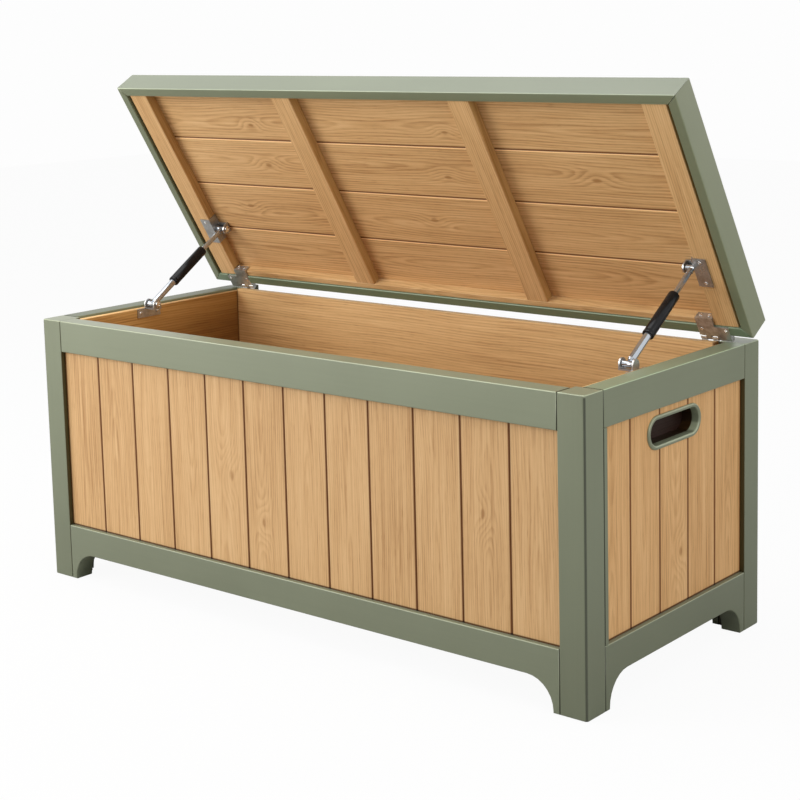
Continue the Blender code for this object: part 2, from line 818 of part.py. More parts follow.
def hinges():
    body_pivot = make_pivot("hinge_axis", (0, HINGE_Y, HINGE_Z))
    for side in ("left", "right"):
        body_leaf = hinge_body_leaf(side + "_hinge_body_leaf")
        lid_leaf = hinge_lid_leaf(side + "_hinge_lid_leaf")
        if side == "left":
            mirror_in_x(body_leaf)
            mirror_in_x(lid_leaf)
        body_leaf.parent = body_pivot
        finish(body_leaf, SATIN_STEEL)
        on_lid(lid_leaf, SATIN_STEEL)


# Struts: drawn for the right end, where +X is towards the chest's end. Each bracket is drawn
# about its pin. A strut is drawn about its lower pin, upright, and then leant by its pivot.

BATTEN_FACE = BATTEN_INSET + BATTEN_WIDTH
EAR_FACE = EYE_HALF_LENGTH + GAP
EAR_BACK = EAR_FACE + BRACKET_PLATE
EAR_BASE = EYE_RADIUS + WEB_CLEARANCE + BRACKET_PLATE
STRUT_INSET = max(LINING_FACE, BATTEN_FACE) + GAP + EAR_BACK
STRUT_X = WIDTH / 2 - STRUT_INSET
FOOT_Y = HINGE_Y - STRUT_FOOT_REACH
FOOT_Z = HEIGHT + STRUT_FOOT_RISE
HEAD_Y = lid_y(STRUT_HEAD_REACH)
HEAD_Z = lid_z(STRUT_HEAD_DEPTH)


def strut_span(open_angle):
    """From the lower pin back and up to the upper pin, with the lid open by an angle."""
    back = HINGE_Y + HEAD_Y * math.cos(open_angle) + HEAD_Z * math.sin(open_angle) - FOOT_Y
    up = HINGE_Z + HEAD_Z * math.cos(open_angle) - HEAD_Y * math.sin(open_angle) - FOOT_Z
    return Vector((back, up))


SHUT_LENGTH = strut_span(0).length
OPEN_LENGTH = strut_span(OPEN_ANGLE).length
OPEN_LEAN = math.atan2(strut_span(OPEN_ANGLE).y, strut_span(OPEN_ANGLE).x)
STAGE_TRAVEL = (OPEN_LENGTH - SHUT_LENGTH) / 2
TUBE_START = END_FITTING + STAGE_TRAVEL
TUBE_END = OPEN_LENGTH - TUBE_START
STAGE_END = TUBE_START + TELESCOPE_OVERLAP
ROD_START = TUBE_END - TELESCOPE_OVERLAP
NECK_LENGTH = END_FITTING - EYE_RADIUS - GAP


def add_ears(mesh, base, plate_back):
    """Two round-ended ears either side of the eye. The outboard one backs onto its carrier."""
    turn = math.pi if base > 0 else 0
    outline = arc(Vector((0, 0)), EAR_RADIUS, turn, turn + math.pi, ROUND_STEPS // 2)
    outline += [Vector((outline[-1].x, base)), Vector((outline[0].x, base))]
    add_prism(mesh, outline, EAR_FACE, plate_back, "YZ")
    add_prism(mesh, outline, -EAR_BACK, -EAR_FACE, "YZ")


def add_clevis_web(mesh, base, plate_back):
    """The cross piece that joins the two ears, clear of the eye between them."""
    inside = base - math.copysign(BRACKET_PLATE, base)
    low, high = sorted((base, inside))
    add_box(mesh, (-EAR_BACK, -EAR_RADIUS, low), (plate_back, EAR_RADIUS, high))


def add_pin_head(mesh):
    """The pin's round head on the outside of the inboard ear."""
    sunk = -EAR_BACK + BRACKET_PLATE / 2
    add_turned(mesh, [(PIN_HEAD_RADIUS, sunk), (PIN_HEAD_RADIUS, -EAR_BACK - PIN_HEAD)], "X")


def add_pin(mesh):
    middle = BRACKET_PLATE / 2
    add_turned(mesh, [(STRUT_PIN_RADIUS, -EAR_FACE - middle), (STRUT_PIN_RADIUS, EAR_FACE + middle)], "X")


def add_liner_plate(mesh):
    """The plate on the end liner, below its rim."""
    top = LINER_TOP - FOOT_Z - GAP
    outline = rectangle(-BRACKET_LENGTH / 2, BRACKET_LENGTH / 2, top - BRACKET_HEIGHT, top)
    add_prism(mesh, outline, EAR_FACE, STRUT_INSET - LINING_FACE - GAP, "YZ")


def add_liner_plate_screws(mesh):
    z = LINER_TOP - FOOT_Z - GAP - BRACKET_HEIGHT / 2
    y = BRACKET_LENGTH / 2 - SCREW_EDGE
    for side in (-1, 1):
        outline = circle(side * y, z, SCREW_RADIUS, SCREW_STEPS)
        add_prism(mesh, outline, EAR_FACE - SCREW_HEAD, EAR_FACE + SCREW_HEAD, "YZ")


def strut_body_bracket(name):
    back = STRUT_INSET - LINING_FACE - GAP
    bracket = shape(name, add_liner_plate)
    combine(bracket, shape(name + "_ears", add_ears, -EAR_BASE, back), "UNION")
    combine(bracket, shape(name + "_web", add_clevis_web, -EAR_BASE, back), "UNION")
    combine(bracket, shape(name + "_head", add_pin_head), "UNION")
    combine(bracket, shape(name + "_pin", add_pin), "UNION")
    combine(bracket, shape(name + "_screws", add_liner_plate_screws), "UNION")
    return bracket


def add_batten_flange(mesh):
    """The flange on the end batten's face, bent down its side to carry the ears."""
    face = BATTEN_SINK - GAP - STRUT_HEAD_DEPTH
    low = face - BRACKET_PLATE + GAP
    half = BRACKET_LENGTH / 2
    back = STRUT_INSET - BATTEN_FACE - GAP
    outline = [
        (EAR_FACE, low),
        (back + FLANGE_REACH, low),
        (back + FLANGE_REACH, face),
        (back, face),
        (back, EAR_BASE),
        (EAR_FACE, EAR_BASE),
    ]
    add_prism(mesh, [Vector(point) for point in outline], -half, half, "XZ")


def add_flange_screws(mesh):
    face = BATTEN_SINK - STRUT_HEAD_DEPTH - BRACKET_PLATE
    x = STRUT_INSET - BATTEN_FACE + FLANGE_REACH / 2
    y = BRACKET_LENGTH / 2 - SCREW_EDGE
    for side in (-1, 1):
        outline = circle(x, side * y, SCREW_RADIUS, SCREW_STEPS)
        add_prism(mesh, outline, face - SCREW_HEAD / 2, face + SCREW_HEAD)


def strut_lid_bracket(name):
    back = STRUT_INSET - BATTEN_FACE - GAP
    bracket = shape(name, add_batten_flange)
    combine(bracket, shape(name + "_ears", add_ears, EAR_BASE, back), "UNION")
    combine(bracket, shape(name + "_web", add_clevis_web, EAR_BASE, back), "UNION")
    combine(bracket, shape(name + "_head", add_pin_head), "UNION")
    combine(bracket, shape(name + "_screws", add_flange_screws), "UNION")
    return bracket


def add_eye_ring(mesh):
    """The lower eye, bored for the pin."""
    half = EYE_HALF_LENGTH
    bore = STRUT_PIN_RADIUS + GAP
    profile = [(EYE_RADIUS, -half), (EYE_RADIUS, half), (bore, half), (bore, -half)]
    add_turned(mesh, profile, "X", closed=True)


def add_stage_shank(mesh):
    """The lower stage: a stout shank, bored from its top to take the upper rod."""
    root = (STRUT_PIN_RADIUS + EYE_RADIUS) / 2
    bore = ROD_RADIUS + GAP
    floor = EYE_RADIUS + STAGE_RADIUS
    add_turned(mesh, [(STAGE_RADIUS, root), (STAGE_RADIUS, STAGE_END), (bore, STAGE_END), (bore, floor)])


def add_strut_tube(mesh):
    """The middle tube, open to the lower stage, with a collar round the upper rod."""
    profile = [
        (TUBE_RADIUS - TUBE_ROUND, TUBE_START),
        (TUBE_RADIUS, TUBE_START + TUBE_ROUND),
        (TUBE_RADIUS, TUBE_END - TUBE_ROUND),
        (TUBE_RADIUS - TUBE_ROUND, TUBE_END),
        (ROD_RADIUS + GAP, TUBE_END),
        (ROD_RADIUS + GAP, TUBE_END - TUBE_CAP),
        (STAGE_RADIUS + GAP, TUBE_END - TUBE_CAP),
        (STAGE_RADIUS + GAP, TUBE_START),
    ]
    add_turned(mesh, profile, closed=True)


def add_upper_rod(mesh):
    neck = OPEN_LENGTH - EYE_RADIUS - NECK_LENGTH
    profile = [
        (ROD_RADIUS, ROD_START),
        (ROD_RADIUS, neck),
        (NECK_RADIUS, neck),
        (NECK_RADIUS, OPEN_LENGTH - EYE_RADIUS / 2),
    ]
    add_turned(mesh, profile)


def add_upper_eye(mesh):
    """The upper eye, with the pin's middle left in it."""
    half = EYE_HALF_LENGTH
    add_turned(mesh, [(EYE_RADIUS, -half), (EYE_RADIUS, half)], "X", centre=(0, 0, OPEN_LENGTH))


def struts():
    for side, sign in (("left", -1), ("right", 1)):
        name = side + "_strut_"
        pivot = make_pivot(name + "pivot", (sign * STRUT_X, FOOT_Y, FOOT_Z))
        pivot.rotation_euler.x = OPEN_LEAN - math.pi / 2
        body_bracket = strut_body_bracket(name + "body_bracket")
        lid_bracket = strut_lid_bracket(name + "lid_bracket")
        if side == "left":
            mirror_in_x(body_bracket)
            mirror_in_x(lid_bracket)
        body_bracket.location = (sign * STRUT_X, FOOT_Y, FOOT_Z)
        finish(body_bracket, SATIN_STEEL)
        lid_bracket.location = (sign * STRUT_X, HEAD_Y, HEAD_Z)
        on_lid(lid_bracket, SATIN_STEEL)
        stage = shape(name + "lower_stage", add_eye_ring)
        combine(stage, shape(name + "shank", add_stage_shank), "UNION")
        tube = shape(name + "tube", add_strut_tube)
        rod = shape(name + "upper_rod", add_upper_rod)
        combine(rod, shape(name + "upper_eye", add_upper_eye), "UNION")
        for piece, look in ((stage, CHROME), (tube, BLACK_PAINT), (rod, CHROME)):
            piece.parent = pivot
            finish(piece, look)


corner_posts()
for wall_name in WALLS:
    top_rail(wall_name)
    bottom_rail(wall_name)
front_slats()
end_panels()
end_stiles()
joined_slats("back", FRONT_SLATS, "back_panel")
handle_trims()
lining()
floor_panel()
LID_PIVOT = make_pivot("lid_pivot", (0, HINGE_Y, HINGE_Z))
LID_PIVOT.rotation_euler.x = -OPEN_ANGLE
lid_rails()
lid_panel()
lid_battens()
hinges()
struts()
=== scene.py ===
import json
import math
from collections import namedtuple
from operator import mul

import bmesh
import bpy
from mathutils import Matrix, Vector


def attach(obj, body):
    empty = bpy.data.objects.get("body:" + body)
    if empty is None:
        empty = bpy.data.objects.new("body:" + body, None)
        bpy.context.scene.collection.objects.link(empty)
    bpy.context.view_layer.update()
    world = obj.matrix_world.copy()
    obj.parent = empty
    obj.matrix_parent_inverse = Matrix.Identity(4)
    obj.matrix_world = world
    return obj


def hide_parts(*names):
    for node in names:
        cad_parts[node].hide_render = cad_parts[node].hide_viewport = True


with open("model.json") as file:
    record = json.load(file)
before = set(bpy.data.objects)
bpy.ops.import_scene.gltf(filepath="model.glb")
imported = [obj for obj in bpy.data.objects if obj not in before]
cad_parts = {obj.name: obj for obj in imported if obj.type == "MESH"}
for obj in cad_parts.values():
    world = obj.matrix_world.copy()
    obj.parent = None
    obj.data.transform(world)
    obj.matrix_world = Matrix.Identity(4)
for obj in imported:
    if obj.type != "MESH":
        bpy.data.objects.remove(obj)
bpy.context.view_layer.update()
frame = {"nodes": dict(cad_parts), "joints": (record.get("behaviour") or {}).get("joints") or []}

bl_info = {
    "name": "Garden storage chest",
    "version": (1, 0, 0),
    "blender": (4, 5, 0),
    "location": "3D View > Sidebar > Chest",
    "description": "Finishes and small fittings for a painted timber chest with slatted walls",
    "category": "Object",
}

LID_NAME = "lid"
SIDES = (("left", -1), ("right", 1))

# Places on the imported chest, in metres
HINGE_PIN = Vector(frame["joints"][0]["pos_m"])
OPEN_ANGLE = math.radians(-frame["joints"][0]["range_deg"][0])
LID_MATRIX = Matrix.Translation(HINGE_PIN) @ Matrix.Rotation(-OPEN_ANGLE, 4, "X")
WALL_X = 0.620
WALL_Y = 0.265
POST_INSIDE_X = 0.570
POST_INSIDE_Y = 0.215
LINER_BACK_X = 0.5812
LID_INSIDE_X = 0.6205
LID_OUTSIDE_X = 0.639
BODY_TOP = 0.500
LINER_TOP = 0.4955
RAIL_TOP = 0.104
RAIL_UNDER = 0.441

# Places on the shut lid: heights and distances from its hinge pin
LID_UNDER = -0.005
LID_FREE_EDGE = 0.494
LID_HINGE_EDGE = 0.030
BATTEN_FACE = -0.002

# An axis, where along it a tint starts, where the tint is full, and the tint. Axes x and y count both
# ways from the middle, z is the height, and +y runs to the back.
Band = namedtuple("Band", "axis start full tint")

# A row of boards: the axes along, across and through them, how far out their face is, the first
# board's edge, the width of one board, and whether dark seams part them
Boards = namedtuple("Boards", "along across depth face start pitch seams")
FRONT_BOARDS = Boards("z", "x", "y", 0.256, -0.570, 0.095, True)
END_BOARDS = Boards("z", "y", "x", 0.611, -0.215, 0.086, True)
LID_PANEL_BOARDS = Boards("x", "y", "z", 0.018, -0.4752, 0.1116, True)
BATTENS = Boards("y", "x", "z", 0.002, -0.620, 0.310, False)
CLEAT_BOARDS = Boards("x", "y", "z", 0.002, -0.530, 1.0, False)
LONG_LINERS = Boards("x", "z", "y", 0.207, 0.110, 0.4, False)
END_LINERS = Boards("y", "z", "x", 0.570, 0.110, 0.4, False)
FLOOR_BOARDS = Boards("x", "y", "z", 0.116, -0.240, 0.080, True)


# Shader graphs

class Number:
    """A number on a socket. Arithmetic with it adds Math nodes to its finish."""

    def __init__(self, finish, socket):
        self.finish = finish
        self.socket = socket

    def __add__(self, other):
        return self.finish.maths("ADD", self, other)

    def __radd__(self, other):
        return self.finish.maths("ADD", other, self)

    def __sub__(self, other):
        return self.finish.maths("SUBTRACT", self, other)

    def __rsub__(self, other):
        return self.finish.maths("SUBTRACT", other, self)

    def __mul__(self, other):
        return self.finish.maths("MULTIPLY", self, other)

    def __rmul__(self, other):
        return self.finish.maths("MULTIPLY", other, self)

    def __truediv__(self, other):
        return self.finish.maths("DIVIDE", self, other)

    def __pow__(self, other):
        return self.finish.maths("POWER", self, other)

    def __abs__(self):
        return self.finish.maths("ABSOLUTE", self)


class Finish:
    """The node graph of one material."""

    def __init__(self, name):
        self.material = bpy.data.materials.new(name)
        self.material.use_nodes = True
        self.tree = self.material.node_tree
        self.shader = self.tree.nodes["Principled BSDF"]

    def node(self, kind, settings=None, sockets=None):
        """A node of a type. Its settings come first, then its sockets' values or links."""
        made = self.tree.nodes.new("ShaderNode" + kind)
        for name, value in (settings or {}).items():
            if name == "stops":
                self.set_stops(made.color_ramp.elements, value)
            else:
                setattr(made, name, value)
        for name, value in (sockets or {}).items():
            self.feed(made.inputs[name], value)
        return made

    def set_stops(self, elements, stops):
        while len(elements) < len(stops):
            elements.new(1.0)
        for element, (position, colour) in zip(elements, stops):
            element.position = position
            element.color = (*colour, 1.0)

    def feed(self, socket, value):
        if isinstance(value, Number):
            value = value.socket
        if isinstance(value, bpy.types.NodeSocket):
            self.tree.links.new(value, socket)
        else:
            socket.default_value = value

    def maths(self, operation, first, second=0.0):
        made = self.node("Math", {"operation": operation}, {0: first, 1: second})
        return Number(self, made.outputs[0])

    def vector(self, x, y, z):
        return self.node("CombineXYZ", None, {0: x, 1: y, 2: z}).outputs[0]

    def noise(self, vector, detail=2.0, roughness=0.5):
        sockets = {"Vector": vector, "Scale": 1.0, "Detail": detail, "Roughness": roughness}
        return Number(self, self.node("TexNoise", None, sockets).outputs[0])

    def smooth(self, value, low, high):
        """0 below low and 1 above high, with a smooth step between them."""
        settings = {"interpolation_type": "SMOOTHSTEP"}
        made = self.node("MapRange", settings, {0: value, 1: low, 2: high})
        return Number(self, made.outputs[0])

    def ramp(self, value, stops):
        return self.node("ValToRGB", {"stops": stops}, {0: value}).outputs[0]

    def mix(self, factor, first, second, blend="MIX"):
        settings = {"data_type": "RGBA", "blend_type": blend}
        return self.node("Mix", settings, {0: factor, 6: first, 7: second}).outputs[2]

    def coordinates(self, on_lid=False):
        """The surface point's x, y and z. On the lid they are those of the shut lid about its hinge."""
        point = self.node("TexCoord").outputs["Object"]
        if on_lid:
            turn = (-OPEN_ANGLE, 0.0, 0.0)
            sockets = {"Vector": point, "Location": HINGE_PIN, "Rotation": turn}
            point = self.node("Mapping", {"vector_type": "TEXTURE"}, sockets).outputs[0]
        parts = self.node("SeparateXYZ", None, {0: point}).outputs
        return {axis: Number(self, part) for axis, part in zip("xyz", parts)}

    def arris(self, on_lid=False):
        """Two masks of the rounded arrises: those facing up, which take scuffs and a painted highlight
        from light above, and all of them.
        """
        normal = self.node("TexCoord").outputs["Normal"]
        if on_lid:
            turn = {"Vector": normal, "Rotation": (OPEN_ANGLE, 0.0, 0.0)}
            normal = self.node("Mapping", {"vector_type": "VECTOR"}, turn).outputs[0]
        x, y, z = (Number(self, part) for part in self.node("SeparateXYZ", None, {0: normal}).outputs)
        widest = self.maths("MAXIMUM", self.maths("MAXIMUM", abs(x), abs(y)), abs(z))
        # Upward arrises count most: they are scuffed more, and they carry a painted highlight for light
        # from above.
        rubbed_and_lit = self.smooth(abs(z) if on_lid else z, 0.05, 0.5) * 0.8 + 0.2
        every = self.smooth(1.0 - widest, 0.015, 0.13)
        return every * rubbed_and_lit, every

    def shaded(self, colour, at, bands):
        """A colour times the tints of some bands."""
        for band in bands:
            place = abs(at[band.axis]) if band.axis in ("x", "y") else at[band.axis[-1]]
            part = self.smooth(place, band.start, band.full)
            colour = self.mix(part, colour, solid(band.tint), "MULTIPLY")
        return colour

    def bump(self, height, strength, distance):
        sockets = {"Height": height, "Strength": strength, "Distance": distance}
        self.feed(self.shader.inputs["Normal"], self.node("Bump", None, sockets).outputs[0])

    def set(self, **sockets):
        """Values or links of the shader's sockets, by names with spaces written as underscores."""
        for name, value in sockets.items():
            title = name.replace("_", " ").title().replace("Ior", "IOR")
            self.feed(self.shader.inputs[title], value)


def solid(colour):
    return (*colour, 1.0)


def scaled(colour, share):
    return tuple(part * share for part in colour)


# Finishes. Noise is drawn on places times the number of its features to the metre.

SEAM_START = 0.0036
SEAM_FULL = 0.0012
SEAM_TINT = (0.36, 0.20, 0.03)
SEAM_STRENGTH = 0.94
KNOT_STRETCH = 1.9


def timber(name, boards, colours, tint=(1.0, 1.0, 1.0), figure=1.0, rings=230.0, seed=0.0, on_lid=False,
           knots=(), shades=(), lit=0.0):
    """Oiled boards, sawn through their rings so that slender arches run along them.

    A knot is its place across, its place along and its radius. Figure is the strength of the rings,
    rings their number to the metre, and lit the strength of a painted highlight on the arris beside
    each seam.
    """
    finish = Finish(name)
    at = finish.coordinates(on_lid)
    length, width, depth = at[boards.along], at[boards.across], abs(at[boards.depth])
    count = finish.maths("FLOOR", (width - boards.start) / boards.pitch)
    chance = finish.node("TexWhiteNoise", {"noise_dimensions": "1D"}, {"W": count * 7.31 + seed})
    lots = finish.node("SeparateColor", None, {0: chance.outputs["Color"]}).outputs
    first, second, third = (Number(finish, lot) for lot in lots)
    side = width - boards.start - (count + 0.5) * boards.pitch
    run = length + first * 9.0 + seed
    knot = None
    for knot_width, knot_length, radius in knots:
        near_width = (width - knot_width) / radius
        near_length = (length - knot_length) / (radius * KNOT_STRETCH)
        spread = near_width * near_width + near_length * near_length
        glow = finish.maths("EXPONENT", spread * -0.5)
        knot = glow if knot is None else finish.maths("MAXIMUM", knot, glow)

    # Rings: distance from a heart that wanders along the board, a little behind its face
    sway = finish.noise(finish.vector(run * 2.1, count * 3.7, 0.3), 1.0) - 0.5
    drift = finish.noise(finish.vector(side * 22.0, run * 4.5, count * 1.9), 2.0) - 0.5
    swell = finish.noise(finish.vector(run * 1.9, count * 5.3, 4.1), 1.0) - 0.5
    bowed = side + sway * 0.030 + drift * 0.0075 + (second - 0.5) * 0.030
    level = (boards.face - depth) * 0.6 + 0.011 + swell * 0.085
    if knot is not None:
        level = level + knot ** 0.13 * 0.016
    reach = finish.maths("SQRT", bowed * bowed + level * level)
    ripple = finish.noise(finish.vector(side * 260.0, run * 16.0, depth * 260.0), 1.0) - 0.5
    ring = finish.maths("FRACT", reach * rings + ripple * 0.40)
    late = finish.smooth(ring, 0.10, 0.80) * (1.0 - finish.smooth(ring, 0.76, 1.0)) - 0.36

    # Fibres along the board, from broad streaks down to pores
    streak = finish.noise(finish.vector(side * 150.0, run * 4.2, depth * 150.0), 2.0, 0.6) - 0.5
    fibre = finish.noise(finish.vector(side * 420.0, run * 6.5, depth * 420.0), 3.0, 0.65) - 0.5
    dash = finish.noise(finish.vector(side * 950.0, run * 42.0, depth * 950.0), 1.0)
    pore = finish.smooth(dash, 0.58, 0.74)
    cloud = finish.noise(finish.vector(side * 9.0, run * 2.6, count * 2.3), 2.0) - 0.5
    shade = late * 0.25 * figure + streak * 0.80 + fibre * 0.95 + pore * 0.20
    shade = shade + cloud * 0.40 + (third - 0.5) * 0.09 + 0.47
    if knot is not None:
        shade = shade + finish.smooth(knot, 0.50, 0.98) * 0.42
    light, middle, dark = (tuple(map(mul, colour, tint)) for colour in colours)
    colour = finish.ramp(shade, [(0.0, light), (0.5, middle), (1.0, dark)])
    if boards.seams:
        half = boards.pitch / 2
        edge = finish.smooth(abs(side), half - SEAM_START, half - SEAM_FULL)
        colour = finish.mix(edge * SEAM_STRENGTH, colour, solid(tuple(map(mul, dark, SEAM_TINT))))
    # Painted highlight: a light line along one edge of each board beside its seam.
    if lit:
        rim = side + boards.pitch / 2
        arris = finish.smooth(rim, 0.0008, 0.0016) * (1.0 - finish.smooth(rim, 0.0026, 0.0040))
        colour = finish.mix(arris * lit, colour, solid(scaled(light, 1.8)))
    colour = finish.shaded(colour, at, shades)
    finish.set(base_color=colour, roughness=shade * 0.16 + 0.46, specular_ior_level=0.35)
    finish.bump(fibre * 0.6 + pore * -0.8 + late * -0.25, 0.35, 0.0004)
    return finish.material


BRUSH_LENGTHWISE = 5.0
BRUSH_CROSSWISE = 210.0
PEEL_FREQUENCY = 520.0
CORNER_ROUND = 0.0045


def satin_paint(name, colour, along, seed=0.0, on_lid=False, shades=(), wear_and_highlight=0.85, corner=None,
                shine=0.5):
    """Brushed satin paint, lighter on its arrises from scuffing and painted highlight, and darker
    towards the ground as painted shade.

    Corner is the share of the colour that is left on a post's outer arris, a painted shade along that
    corner.
    """
    finish = Finish(name)
    at = finish.coordinates(on_lid)
    stretch = {axis: BRUSH_LENGTHWISE if axis == along else BRUSH_CROSSWISE for axis in "xyz"}
    lines = finish.noise(finish.vector(*(at[axis] * stretch[axis] + seed for axis in "xyz")), 3.0) - 0.5
    cloud = finish.noise(finish.vector(*(at[axis] * 5.0 + seed for axis in "xyz")), 2.0) - 0.5
    peel = finish.noise(finish.vector(*(at[axis] * PEEL_FREQUENCY for axis in "xyz")), 1.0) - 0.5
    rubbed_and_lit, every = finish.arris(on_lid)
    worn_and_lit = rubbed_and_lit * (cloud * 0.9 + 0.75)
    tone = lines * 0.16 + cloud * 0.40 + 0.5
    if not on_lid:
        # Painted shade: the paint grows darker towards the ground.
        tone = tone + (finish.smooth(at["z"], 0.0, 0.5) - 0.75) * 0.55
    coat = finish.ramp(tone, [(0.0, scaled(colour, 0.80)), (1.0, scaled(colour, 1.20))])
    # Arrises turn lighter: partly scuffed paint, partly a painted highlight.
    coat = finish.mix(worn_and_lit * wear_and_highlight, coat, solid(scaled(colour, 2.6)))
    # Painted shade along each post's outer vertical arris.
    if corner is not None:
        end, side, top = (place - CORNER_ROUND for place in (WALL_X, WALL_Y, BODY_TOP))
        outside = finish.smooth(abs(at["x"]), end, end + 0.0010)
        outside = outside * finish.smooth(abs(at["y"]), side, side + 0.0010)
        below = 1.0 - finish.smooth(at["z"], top, top + 0.0015)
        coat = finish.mix(every * outside * below, coat, solid(scaled(colour, corner)))
    coat = finish.shaded(coat, at, shades)
    gloss = cloud * 0.10 + lines * 0.06 + 0.38
    finish.set(base_color=coat, roughness=gloss, specular_ior_level=shine)
    finish.bump(lines * 0.6 + peel * 0.5, 0.18, 0.0003)
    return finish.material


DRAWN_LENGTHWISE = 30.0
DRAWN_CROSSWISE = 900.0
TARNISH_FREQUENCY = 95.0
TARNISH = (0.24, 0.205, 0.17)
# Colour of scuffed arrises, which also serves as a painted highlight.
RUBBED_AND_HIGHLIGHT_METAL = (0.93, 0.93, 0.92)


def metal(name, colour, roughness, along, stain=0.0, on_lid=False, sheen=1.0, rubbed_and_lit=0.8):
    """Drawn or plated metal, with fine lines along one axis, cloudy tarnish, and arrises scuffed bare
    and brightened by a painted highlight.
    """
    finish = Finish(name)
    at = finish.coordinates(on_lid)
    stretch = {axis: DRAWN_LENGTHWISE if axis == along else DRAWN_CROSSWISE for axis in "xyz"}
    lines = finish.noise(finish.vector(*(at[axis] * stretch[axis] for axis in "xyz")), 2.0) - 0.5
    cloud = finish.noise(finish.vector(*(at[axis] * TARNISH_FREQUENCY for axis in "xyz")), 3.0)
    tarnish = finish.smooth(cloud, 0.42, 0.66) * stain
    worn_and_lit = finish.mix(tarnish, solid(colour), solid(TARNISH))
    # Arrises lighten: partly scuffed metal, partly a painted highlight.
    if rubbed_and_lit:
        worn_and_lit = finish.mix(finish.arris(on_lid)[1] * rubbed_and_lit, worn_and_lit, solid(RUBBED_AND_HIGHLIGHT_METAL))
    finish.set(base_color=worn_and_lit, metallic=sheen, roughness=lines * 0.06 + tarnish * 0.12 + roughness)
    finish.bump(lines, 0.03, 0.0001)
    return finish.material


def black_enamel(name, colour):
    """Glossy black enamel with a faint unevenness."""
    finish = Finish(name)
    at = finish.coordinates()
    cloud = finish.noise(finish.vector(*(at[axis] * 60.0 for axis in "xyz")), 2.0)
    speck = finish.noise(finish.vector(*(at[axis] * 900.0 for axis in "xyz")), 1.0) - 0.5
    coat = finish.ramp(cloud, [(0.3, scaled(colour, 0.8)), (0.7, scaled(colour, 1.3))])
    finish.set(base_color=coat, roughness=cloud * 0.08 + 0.12, specular_ior_level=0.20)
    finish.bump(speck, 0.03, 0.0001)
    return finish.material


FACET_GROUP = "joined_facets"
SHALLOW_EDGE = math.radians(52)
JOIN_DISTANCE = 0.00001


def smoothing_group():
    """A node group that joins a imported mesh's facets and shades its shallow edges smooth."""
    group = bpy.data.node_groups.new(FACET_GROUP, "GeometryNodeTree")
    for way in ("INPUT", "OUTPUT"):
        group.interface.new_socket("Geometry", in_out=way, socket_type="NodeSocketGeometry")

    def node(kind, **settings):
        made = group.nodes.new(kind)
        for name, value in settings.items():
            setattr(made, name, value)
        return made

    merge = node("GeometryNodeMergeByDistance")
    merge.inputs["Distance"].default_value = JOIN_DISTANCE
    bare = node("GeometryNodeRemoveAttribute")
    bare.inputs["Name"].default_value = "custom_normal"
    faces = node("GeometryNodeSetShadeSmooth", domain="FACE")
    edges = node("GeometryNodeSetShadeSmooth", domain="EDGE")
    shallow = node("FunctionNodeCompare", data_type="FLOAT", operation="LESS_THAN")
    shallow.inputs[1].default_value = SHALLOW_EDGE
    angle = node("GeometryNodeInputMeshEdgeAngle")
    chain = [node("NodeGroupInput"), merge, bare, faces, edges, node("NodeGroupOutput")]
    for before, after in zip(chain, chain[1:]):
        group.links.new(before.outputs[0], after.inputs[0])
    group.links.new(angle.outputs[0], shallow.inputs[0])
    group.links.new(shallow.outputs[0], edges.inputs["Shade Smooth"])
    return group


def dress(names, material):
    """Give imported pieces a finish, and light their flat faces and rounded arrises as such."""
    group = bpy.data.node_groups.get(FACET_GROUP) or smoothing_group()
    for name in names:
        thing = frame["nodes"][name]
        thing.data.materials.clear()
        thing.data.materials.append(material)
        thing.modifiers.new(FACET_GROUP, "NODES").node_group = group
        normals = thing.modifiers.new("face_normals", "WEIGHTED_NORMAL")
        normals.keep_sharp = True


def nodes_with(word):
    return sorted(name for name in frame["nodes"] if word in name)


# Mesh building

SHARP_EDGE = math.radians(38)


def add_loops(mesh, loops, closed=False):
    """Bridge loops of points in order. Open stacks get a cap at each end."""
    rings = [[mesh.verts.new(point) for point in loop] for loop in loops]
    pairs = list(zip(rings, rings[1:]))
    if closed:
        pairs.append((rings[-1], rings[0]))
    for lower, upper in pairs:
        for index, corner in enumerate(lower):
            following = (index + 1) % len(lower)
            mesh.faces.new((corner, lower[following], upper[following], upper[index]))
    if not closed:
        mesh.faces.new(rings[0])
        mesh.faces.new(rings[-1])


def add_turned(mesh, profile, steps=32, closed=False, matrix=None):
    """Turn a profile of (radius, height) points about Z, then place it by a matrix."""
    matrix = matrix or Matrix.Identity(4)
    turns = [2 * math.pi * step / steps for step in range(steps)]
    loops = []
    for radius, height in profile:
        loop = [Vector((radius * math.cos(turn), radius * math.sin(turn), height)) for turn in turns]
        loops.append([matrix @ point for point in loop])
    add_loops(mesh, loops, closed)


def quarter(centre, radius, start, steps=5):
    """Points of a quarter turn from an angle in degrees, anticlockwise."""
    points = []
    for step in range(steps + 1):
        angle = math.radians(start + 90 * step / steps)
        points.append((centre[0] + radius * math.cos(angle), centre[1] + radius * math.sin(angle)))
    return points


def make_piece(name, build, material, body, replaced=()):
    """A new piece whose mesh is filled by a function, riding on a body."""
    mesh = bmesh.new()
    build(mesh)
    bmesh.ops.recalc_face_normals(mesh, faces=mesh.faces)
    data = bpy.data.meshes.new(name)
    mesh.to_mesh(data)
    mesh.free()
    data.materials.append(material)
    data.shade_smooth()
    data.set_sharp_from_angle(angle=SHARP_EDGE)
    thing = bpy.data.objects.new(name, data)
    bpy.context.scene.collection.objects.link(thing)
    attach(thing, body)
    if replaced:
        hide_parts(*replaced)


